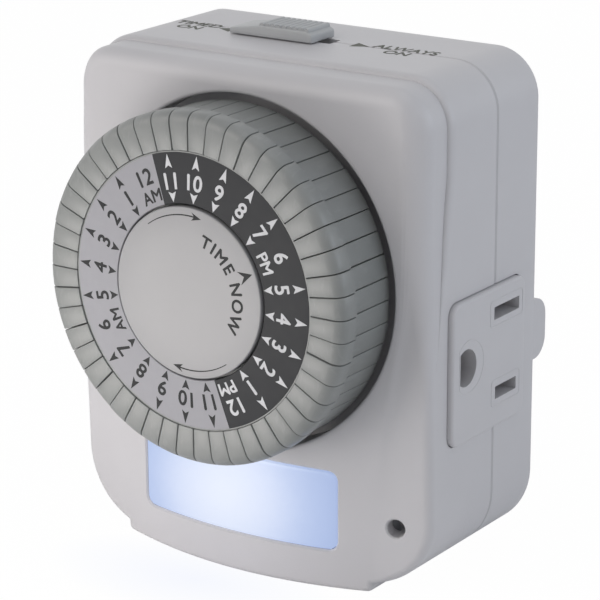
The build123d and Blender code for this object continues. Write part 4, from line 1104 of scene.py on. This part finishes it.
def close_geometry(tree, copies, material):
    """Ends a tree: its copies are made real and given their material."""
    real = add_node(tree, "GeometryNodeRealizeInstances", {"Geometry": copies})
    dressed = add_node(tree, "GeometryNodeSetMaterial", {"Geometry": real.outputs[0], "Material": material})
    add_node(tree, "NodeGroupOutput", {"Geometry": dressed.outputs[0]})


def tappet_tree():
    """Copies the blank round the dial axis, each a hair off its neighbours, as loose sliders are."""
    tree, inputs = new_geometry("tappets_round_the_drum", {
        "Geometry": "NodeSocketGeometry", "Count": "NodeSocketInt", "Start angle": "NodeSocketFloat",
        "Pitch": "NodeSocketFloat", "Depth play": "NodeSocketFloat", "Seed": "NodeSocketInt",
        "Axis height": "NodeSocketFloat", "Material": "NodeSocketMaterial"})

    def drawn(low, high, seed):
        draw = add_node(tree, "FunctionNodeRandomValue", {
            "Min": low, "Max": high, "Seed": seed}, data_type="FLOAT")
        return next(socket for socket in draw.outputs if socket.enabled)

    axis = add_node(tree, "ShaderNodeCombineXYZ", {"Z": inputs["Axis height"]})
    points = add_node(tree, "GeometryNodeMeshLine", {
        "Count": inputs["Count"], "Start Location": axis.outputs[0], "Offset": (0, 0, 0)}, mode="OFFSET")
    index = add_node(tree, "GeometryNodeInputIndex")
    turns = add_node(tree, "ShaderNodeMath", {
        0: index.outputs[0], 1: inputs["Pitch"], 2: inputs["Start angle"]}, operation="MULTIPLY_ADD")
    angle = add_node(tree, "ShaderNodeMath", {
        0: turns.outputs[0], 1: drawn(-SWAY, SWAY, inputs["Seed"])}, operation="ADD")
    turned = add_node(tree, "ShaderNodeCombineXYZ", {"Y": angle.outputs[0]})
    back = add_node(tree, "ShaderNodeMath", {0: inputs["Axis height"], 1: -1.0}, operation="MULTIPLY")
    to_axis = add_node(tree, "ShaderNodeCombineXYZ", {"Z": back.outputs[0]})
    blank = add_node(tree, "GeometryNodeTransform", {
        "Geometry": inputs["Geometry"], "Translation": to_axis.outputs[0]})
    copies = add_node(tree, "GeometryNodeInstanceOnPoints", {
        "Points": points.outputs[0], "Instance": blank.outputs[0], "Rotation": turned.outputs[0]})
    seed = add_node(tree, "ShaderNodeMath", {0: inputs["Seed"], 1: PLAY_SEED}, operation="ADD")
    depth = add_node(tree, "ShaderNodeMath", {
        0: drawn(0.0, 1.0, seed.outputs[0]), 1: inputs["Depth play"]}, operation="MULTIPLY")
    shift = add_node(tree, "ShaderNodeCombineXYZ", {"Y": depth.outputs[0]})
    moved = add_node(tree, "GeometryNodeTranslateInstances", {
        "Instances": copies.outputs[0], "Translation": shift.outputs[0], "Local Space": False})
    close_geometry(tree, moved.outputs[0], inputs["Material"])
    return tree


def run_tree(source, tree, values, name):
    """A plain mesh object of what a tree makes from a source, its inputs set by name."""
    piece = bpy.data.objects.new(name, source.data.copy())
    bpy.context.scene.collection.objects.link(piece)
    modifier = piece.modifiers.new("rule", "NODES")
    modifier.node_group = tree
    keys = {item.name: item.identifier for item in tree.interface.items_tree if item.in_out == "INPUT"}
    for label, value in values.items():
        modifier[keys[label]] = value
    apply_modifiers(piece)
    return piece


def streaked_plastic(name, colour, shade, streak, roughness):
    """Satin moulded plastic with faint pale flow streaks away from the gate, narrow across the object."""
    material, tree, place = new_material(name)
    tone = add_node(tree, "ShaderNodeTexNoise", {
        "Vector": place, "Scale": 1 / (TAPPET_CLOUD * MM), "Detail": 2.0})
    base = add_node(tree, "ShaderNodeMix", {
        "Factor": tone.outputs["Fac"], "A": linear(colour), "B": linear(shade)}, data_type="RGBA")
    stretch = add_node(tree, "ShaderNodeMapping", {"Vector": place, "Scale": (1.0, 0.25, 0.35)})
    flow = add_node(tree, "ShaderNodeTexNoise", {
        "Vector": stretch.outputs[0], "Scale": 1 / (STREAK_SIZE * MM), "Detail": 4.0, "Distortion": 0.6})
    pale = add_node(tree, "ShaderNodeMapRange", {
        "Value": flow.outputs["Fac"], "From Min": 0.56, "From Max": 0.8, "To Min": 0.0, "To Max": 0.35})
    mixed = add_node(tree, "ShaderNodeMix", {
        "Factor": pale.outputs["Result"], "A": base.outputs["Result"], "B": linear(streak)}, data_type="RGBA")
    gloss = add_node(tree, "ShaderNodeMapRange", {
        "Value": flow.outputs["Fac"], "To Min": roughness - 0.06, "To Max": roughness + 0.06})
    grain = add_node(tree, "ShaderNodeTexNoise", {
        "Vector": place, "Scale": 1 / (TAPPET_GRAIN * MM), "Detail": 2.0})
    bump = add_node(tree, "ShaderNodeBump", {
        "Height": grain.outputs["Fac"], "Distance": TAPPET_GRAIN_DEPTH * MM, "Strength": 1.0})
    shader = add_node(tree, "ShaderNodeBsdfPrincipled", {
        "Base Color": mixed.outputs["Result"], "Roughness": gloss.outputs["Result"],
        "Normal": bump.outputs["Normal"], "IOR": PLASTIC_IOR})
    add_node(tree, "ShaderNodeOutputMaterial", {"Surface": shader.outputs["BSDF"]})
    return material


# mid grey ABS: a faintly green satin grey, broken by faint pale flow streaks
tappet_abs = streaked_plastic("mid grey ABS", TAPPET_GREY, TAPPET_SHADE, TAPPET_STREAK, 0.4)
dress(tappet_abs, "drum")
blank = tappet_blank()
tree = tappet_tree()
for hour in range(TAPPET_BODIES):
    first = FIRST_EDGE + PITCH / 2 + TAPPETS_PER_BODY * hour * PITCH
    values = {"Count": TAPPETS_PER_BODY, "Start angle": math.radians(-first), "Pitch": math.radians(-PITCH),
              "Depth play": DEPTH_PLAY * MM, "Seed": hour, "Axis height": DIAL_Z * MM, "Material": tappet_abs}
    pair = run_tree(blank, tree, values, f"tappet_pair_{hour:02d}")
    shade_smooth(pair, 30)
    fit_piece(pair, tappet_abs, f"tappet_pair_{hour:02d}", "tappet_grey", f"tappets_{hour:02d}")
bpy.data.objects.remove(blank)

# ---- Number ring ------------------------------------------------------------
# A slightly coned ring pressed into the drum and pad printed: the morning half
# is light with dark numbers, the other half dark with light numbers.
RING_OUTER = 21.1
RING_INNER = 13.4
RING_SEAT = DIAL_FACE + 1.4
RING_RIM = RING_SEAT - 1.15
RING_RISE = 0.35
RING_INNER_EDGE = 0.1
RING_OUTER_EDGE = 0.15
FIRST_HOUR = 116.0
HOUR_STEP = 15.0
LIGHT_PRINT = "#97979c"
DARK_PRINT = "#191b1f"
RING_FILM = 1.5
DARK_INK = "#0e1013"
LIGHT_INK = "#c9cacd"
INK_FILM = 0.5
PRINT_THICKNESS = 0.012
LETTER_LIFT = 0.005
# letters as (height, added stroke), arrowheads as (length, half width, notch)
NUMBER_SIZE = (2.35, 0.07)
HALF_DAY_SIZE = (1.8, 0.06)
OUTER_MARK = (2.1, 0.72, 0.4)
INNER_MARK = (1.6, 0.62, 0.3)
# how far from the dial's axis each print stands
NUMBER_RADIUS = 16.75
SIXTH_HOUR_RADIUS = 18.1
HALF_DAY_RADIUS = 15.1
OUTER_MARK_RADIUS = 20.75
INNER_MARK_RADIUS = 13.6


def ring_depth(radius):
    """Y of the coned face at a radius."""
    return RING_RIM - RING_RISE * (RING_OUTER - radius) / (RING_OUTER - RING_INNER)


def ring_profile(angle):
    """Section of the ring, the same on every ray: its inner wall, the coned face and the outer wall."""
    inner_face = ring_depth(RING_INNER)
    section = [(RING_INNER, RING_SEAT), (RING_INNER, inner_face + RING_INNER_EDGE),
               (RING_INNER + RING_INNER_EDGE, inner_face)]
    section += [(radius, ring_depth(radius)) for radius in spaced(RING_INNER, RING_OUTER, 8)[:-1]]
    return section + [(RING_OUTER - RING_OUTER_EDGE, RING_RIM), (RING_OUTER, RING_RIM + RING_OUTER_EDGE),
                      (RING_OUTER, RING_SEAT)]


def two_tone_print(name):
    """Printed ring: dark on one side of a line through the dial axis, light on the other, a little worn."""
    material, tree, place = new_material(name)
    across = math.radians(FIRST_HOUR - HOUR_STEP / 2 - 90)
    side = add_node(tree, "ShaderNodeVectorMath", {
        0: place, 1: (math.cos(across), 0, math.sin(across))}, operation="DOT_PRODUCT")
    dark = add_node(tree, "ShaderNodeMath", {
        0: side.outputs["Value"], 1: DIAL_Z * MM * math.sin(across)}, operation="GREATER_THAN")
    film = add_node(tree, "ShaderNodeTexNoise", {
        "Vector": place, "Scale": 1 / (RING_FILM * MM), "Detail": 5.0})
    tone = add_node(tree, "ShaderNodeMapRange", {
        "Value": film.outputs["Fac"], "To Min": 0.94, "To Max": 1.04})
    halves = add_node(tree, "ShaderNodeMix", {
        "Factor": dark.outputs[0], "A": linear(LIGHT_PRINT), "B": linear(DARK_PRINT)}, data_type="RGBA")
    base = add_node(tree, "ShaderNodeVectorMath", {
        0: halves.outputs["Result"], 1: tone.outputs["Result"]}, operation="MULTIPLY")
    gloss = add_node(tree, "ShaderNodeMapRange", {
        "Value": film.outputs["Fac"], "To Min": 0.52, "To Max": 0.64})
    shader = add_node(tree, "ShaderNodeBsdfPrincipled", {
        "Base Color": base.outputs[0], "Roughness": gloss.outputs["Result"], "IOR": 1.45})
    add_node(tree, "ShaderNodeOutputMaterial", {"Surface": shader.outputs["BSDF"]})
    return material


def ink(name, colour, roughness):
    """Pad-printing ink: an even film with pinholes of tone."""
    material, tree, place = new_material(name)
    film = add_node(tree, "ShaderNodeTexNoise", {
        "Vector": place, "Scale": 1 / (INK_FILM * MM), "Detail": 4.0})
    tone = add_node(tree, "ShaderNodeMapRange", {
        "Value": film.outputs["Fac"], "To Min": 0.85, "To Max": 1.1})
    base = add_node(tree, "ShaderNodeVectorMath", {
        0: linear(colour)[:3], 1: tone.outputs["Result"]}, operation="MULTIPLY")
    shader = add_node(tree, "ShaderNodeBsdfPrincipled", {
        "Base Color": base.outputs[0], "Roughness": roughness, "IOR": 1.5})
    add_node(tree, "ShaderNodeOutputMaterial", {"Surface": shader.outputs["BSDF"]})
    return material


def lettering(text, height, stroke, spacing=1.0):
    """Flat bold letters as (points, faces) round the origin, their stroke widened by shifted copies."""
    curve = bpy.data.curves.new("letters", "FONT")
    curve.body = text
    curve.align_x = "CENTER"
    curve.space_character = spacing
    curve.resolution_u = 4
    source = bpy.data.objects.new("letters", curve)
    bpy.context.scene.collection.objects.link(source)
    mesh = bpy.data.meshes.new_from_object(source.evaluated_get(bpy.context.evaluated_depsgraph_get()))
    bpy.data.objects.remove(source)
    xs = [v.co.x for v in mesh.vertices]
    ys = [v.co.y for v in mesh.vertices]
    scale = height / (max(ys) - min(ys))
    middle_x = (max(xs) + min(xs)) / 2
    middle_y = (max(ys) + min(ys)) / 2
    points = []
    faces = []
    # each copy lies a little over the last, so that no two of them share a plane
    for copy, (right, up) in enumerate(((-stroke, -stroke), (stroke, -stroke), (0.0, stroke))):
        base = len(points)
        for v in mesh.vertices:
            points.append(((v.co.x - middle_x) * scale + right, (v.co.y - middle_y) * scale + up,
                           copy * LETTER_LIFT))
        faces += [tuple(base + i for i in p.vertices) for p in mesh.polygons]
    bpy.data.meshes.remove(mesh)
    return points, faces


def arrowhead(length, half_width, notch):
    """Arrowhead along +v with a notched tail and its tip at the origin."""
    points = [(0.0, 0.0), (-half_width, -length), (0.0, -length + notch), (half_width, -length)]
    return points, [(0, 1, 2), (0, 2, 3)]


def turned_shape(shape, angle):
    """A flat shape turned about the origin, by radians."""
    points, faces = shape
    c, s = math.cos(angle), math.sin(angle)
    return [(u * c - v * s, u * s + v * c) for u, v in points], faces


def printed(name, shapes, place_on):
    """One flat print mesh from (points, faces, where) shapes; place_on maps each onto its surface."""
    points = []
    faces = []
    for shape_points, shape_faces, where in shapes:
        base = len(points)
        points += [place_on(where, *point) for point in shape_points]
        faces += [tuple(base + i for i in face) for face in shape_faces]
    return new_object(name, points, faces)


def round_the_dial(where, u, v, depth_at, lift):
    """Point of a print that stands at (angle, radius), upright away from the dial axis."""
    angle, radius = where
    turned = angle - u / radius
    distance = radius + v
    return (distance * math.cos(turned), depth_at(distance) - PRINT_THICKNESS - lift,
            DIAL_Z + distance * math.sin(turned))


def on_ring(where, u, v, lift=0.0):
    """Point of a print on the coned ring."""
    return round_the_dial(where, u, v, ring_depth, lift)


def hour_marks(hours):
    """Numbers with a mark above and below, or AM and PM under the twelves and sixes."""
    shapes = []
    for hour in hours:
        angle = math.radians(FIRST_HOUR + HOUR_STEP * hour)
        number = lettering(str((hour - 1) % 12 + 1), *NUMBER_SIZE)
        if hour % 6 == 0:
            half_day = lettering("AM" if hour < 12 else "PM", *HALF_DAY_SIZE)
            shapes += [(*number, (angle, SIXTH_HOUR_RADIUS)), (*half_day, (angle, HALF_DAY_RADIUS))]
            continue
        inner_mark = turned_shape(arrowhead(*INNER_MARK), math.pi)
        shapes += [(*number, (angle, NUMBER_RADIUS)), (*arrowhead(*OUTER_MARK), (angle, OUTER_MARK_RADIUS)),
                   (*inner_mark, (angle, INNER_MARK_RADIUS))]
    return shapes


ring = polar_shell("number_ring_face", even_rays(180), ring_profile, DIAL_Z)
shade_smooth(ring)
# pad printed ring: two flat matt tones with a hard line between them
fit_piece(ring, two_tone_print("pad printed ring"), "dial", "number_print", "number_ring")
# pad-printing inks: flat and matt, a hair thick, so their edges stay sharp
dark_ink = ink("dark pad print", DARK_INK, 0.65)
light_ink = ink("light pad print", LIGHT_INK, 0.6)
fit_piece(printed("morning_numbers", hour_marks(range(12)), on_ring), dark_ink, "dial", "number_print")
fit_piece(printed("evening_numbers", hour_marks(range(12, 24)), on_ring), light_ink, "dial", "number_print")

# ---- Pointer disc -----------------------------------------------------------
# The disc in the middle stands still on the end of the spindle while the dial
# turns round it. It is printed with the pointer and the way the dial turns.
DISC_RADIUS = 13.05
DISC_FRONT = DIAL_FACE - 0.45
DISC_BACK = DISC_FRONT + 1.3
DISC_ROUND = 0.2
DISC_ROWS = (4.0, 8.5)
DISC_GREY = "#98989a"
DISC_SHADE = "#929294"
# the two curved arrows, each from one angle clockwise to another
ARROWS = ((127.0, 83.0), (-55.0, -99.0))
ARROW_RADIUS = 11.85
ARROW_HALF_WIDTH = 0.11
ARROW_TAIL = 0.55
ARROW_TIP_LEAD = 5.5
ARROW_HEAD = (1.75, 0.62, 0.5)
POINTER = (2.5, 1.3, 0.9)
POINTER_PLACE = (math.radians(22.5), 12.55)
WORDS_SIZE = (1.9, 0.07, 1.25)
WORDS_PLACE = (math.radians(21.0), 8.9)


def disc_profile(angle):
    """Section of the disc, the same on every ray: its flat front and rounded rim."""
    section = [(0.0, DISC_BACK), (0.0, DISC_FRONT)] + [(radius, DISC_FRONT) for radius in DISC_ROWS]
    for lean in [0.0] + spaced(0.0, QUARTER, 5):
        section.append((DISC_RADIUS - DISC_ROUND * (1 - math.sin(lean)),
                        DISC_FRONT + DISC_ROUND * (1 - math.cos(lean))))
    return section + [(DISC_RADIUS, DISC_BACK)]


def on_disc(where, u, v, lift=0.0):
    """Point of a print on the flat disc."""
    return round_the_dial(where, u, v, lambda radius: DISC_FRONT, lift)


def arc_arrow(start, end, steps=24):
    """Stroke of a curved arrow, which runs clockwise and widens towards its head."""
    sweep = math.radians(start - end) * ARROW_RADIUS
    points = []
    for u in [0.0] + spaced(0.0, sweep, steps):
        width = ARROW_HALF_WIDTH * blend(ARROW_TAIL, 1.0, u / sweep)
        points += [(u, width), (u, -width)]
    return points, [(2 * i, 2 * i + 1, 2 * i + 3, 2 * i + 2) for i in range(steps)]


disc_prints = []
for start, end in ARROWS:
    head = turned_shape(arrowhead(*ARROW_HEAD), -QUARTER)
    disc_prints += [(*arc_arrow(start, end), (math.radians(start), ARROW_RADIUS)),
                    (*head, (math.radians(end - ARROW_TIP_LEAD), ARROW_RADIUS))]
disc_prints += [(*arrowhead(*POINTER), POINTER_PLACE), (*lettering("TIME NOW", *WORDS_SIZE), WORDS_PLACE)]
disc = polar_shell("pointer_disc_face", even_rays(120), disc_profile, DIAL_Z)
shade_smooth(disc)
# smooth grey ABS: flatter and darker than the casing, with a coarse faint grain
disc_abs = moulded_plastic("smooth grey ABS", DISC_GREY, DISC_SHADE, 0.4, 0.8, 0.006)
fit_piece(disc, disc_abs, "housing", "pointer_white", "pointer_disc")
fit_piece(printed("pointer_print", disc_prints, on_disc), dark_ink, "housing", "pointer_white")

# ---- Mode button ------------------------------------------------------------
# A grey slide on top of the casing, with nine ribs for the fingertip and a stem
# through the casing to the slider below. Printed words beside it name its ends.
BUTTON_LEFT = -13.4
BUTTON_RIGHT = 1.9
BUTTON_FRONT = -19.4
BUTTON_REAR = -13.0
BUTTON_BASE = BODY_TOP + 0.15
BUTTON_LOW_END = BUTTON_BASE + 0.9
BUTTON_NOSE = BUTTON_BASE + 1.2
BUTTON_TOP = BUTTON_BASE + 1.75
BUTTON_EDGE = 0.25
RAMP_END = -7.6
FLAT_END = BUTTON_RIGHT - 1.0
STEM_X = -4.5
STEM_HALF_LENGTH = 3.0
STEM_HALF_DEPTH = 1.3
STEM_CORNER = 0.2
STEM_FOOT = 35.55
STEM_SINK = 0.5
RIB_COUNT = 9
RIB_PITCH = 1.02
RIB_HALF = RIB_PITCH / 2 * 0.92
RIB_HEIGHT = 0.45
RIB_ROOT = -0.2
RIB_END = 0.3
RIB_LEANS = (-1.4, -1.0, -0.5, 0.0, 0.5, 1.0, 1.4)
BUTTON_GREY = "#b0b2b3"
BUTTON_SHADE = "#a8aaac"
OLIVE_INK = "#45483f"
LEGEND_SIZE = (2.0, 0.08)
LEGEND_MARK = (2.8, 1.4, 0.0)
# each mark's place and its turn, and each word's place
LEGEND_MARKS = (((-17.3, -16.8), QUARTER), ((9.9, -15.6), -QUARTER))
LEGEND_WORDS = (("TIMED", (-21.6, -15.9)), ("ON", (-21.6, -18.6)),
                ("ALWAYS", (15.8, -14.4)), ("ON", (15.8, -17.2)))


def button_cap():
    """The cap, a ramp at its left and a flat for the ribs, with softened edges."""
    side = [(BUTTON_LEFT, BUTTON_BASE), (BUTTON_RIGHT, BUTTON_BASE), (BUTTON_RIGHT, BUTTON_NOSE),
            (FLAT_END, BUTTON_TOP), (RAMP_END, BUTTON_TOP), (BUTTON_LEFT, BUTTON_LOW_END)]
    cap = prism("button_cap", side, facing_front, BUTTON_FRONT, BUTTON_REAR)
    soften_edges(cap, BUTTON_EDGE, 3, 40)
    return cap


def button_stem():
    """The stem under the cap, which takes the slider along."""
    outline = rounded_box(STEM_HALF_LENGTH, STEM_HALF_DEPTH, STEM_CORNER, 2, (STEM_X, PARTING))
    return prism("button_stem", outline, facing_up, STEM_FOOT, BUTTON_BASE + STEM_SINK)


def rib_blank():
    """One rounded rib across the button, in the middle of the flat."""
    middle = (RAMP_END + FLAT_END) / 2
    arc = [(-RIB_HALF, RIB_ROOT)]
    arc += [(RIB_HALF * math.sin(lean), RIB_HEIGHT * math.cos(lean)) for lean in RIB_LEANS]
    arc += [(RIB_HALF, RIB_ROOT)]
    outline = [(middle + x, BUTTON_TOP + z) for x, z in arc]
    return prism("rib_blank", outline, facing_front, BUTTON_FRONT + RIB_END, BUTTON_REAR - RIB_END)


def row_tree():
    """Copies a blank along X, centred on where it stands."""
    tree, inputs = new_geometry("row_of_ribs", {
        "Geometry": "NodeSocketGeometry", "Count": "NodeSocketInt", "Pitch": "NodeSocketFloat",
        "Material": "NodeSocketMaterial"})
    step = add_node(tree, "ShaderNodeCombineXYZ", {"X": inputs["Pitch"]})
    less = add_node(tree, "ShaderNodeMath", {0: inputs["Count"], 1: -1.0}, operation="ADD")
    half = add_node(tree, "ShaderNodeMath", {0: less.outputs[0], 1: -0.5}, operation="MULTIPLY")
    start = add_node(tree, "ShaderNodeMath", {0: half.outputs[0], 1: inputs["Pitch"]}, operation="MULTIPLY")
    first = add_node(tree, "ShaderNodeCombineXYZ", {"X": start.outputs[0]})
    line = add_node(tree, "GeometryNodeMeshLine", {
        "Count": inputs["Count"], "Start Location": first.outputs[0], "Offset": step.outputs[0]},
        mode="OFFSET")
    copies = add_node(tree, "GeometryNodeInstanceOnPoints", {
        "Points": line.outputs[0], "Instance": inputs["Geometry"]})
    close_geometry(tree, copies.outputs[0], inputs["Material"])
    return tree


def on_top(where, u, v, lift=0.0):
    """Point of a print on the flat top of the casing, upright towards the wall."""
    return (where[0] + u, where[1] + v, BODY_TOP + PRINT_THICKNESS + lift)


# pale grey ABS: a shade darker than the casing, matt from handling
button_abs = moulded_plastic("pale grey ABS", BUTTON_GREY, BUTTON_SHADE, 0.45, 0.4, 0.01)
rib = rib_blank()
values = {"Count": RIB_COUNT, "Pitch": RIB_PITCH * MM, "Material": button_abs}
ribs = run_tree(rib, row_tree(), values, "button_ribs")
bpy.data.objects.remove(rib)
button = join("mode_button_cap", [button_cap(), button_stem(), ribs])
shade_smooth(button, 35)
fit_piece(button, button_abs, "mode_switch", "tappet_grey", "mode_button")
legends = [(*turned_shape(arrowhead(*LEGEND_MARK), turn), where) for where, turn in LEGEND_MARKS]
legends += [(*lettering(word, *LEGEND_SIZE), where) for word, where in LEGEND_WORDS]
# olive-grey pad print: thin ink on a grained top, so it shows a little of the casing
olive_ink = ink("olive pad print", OLIVE_INK, 0.6)
fit_piece(printed("mode_legends", legends, on_top), olive_ink, "housing", "casing")
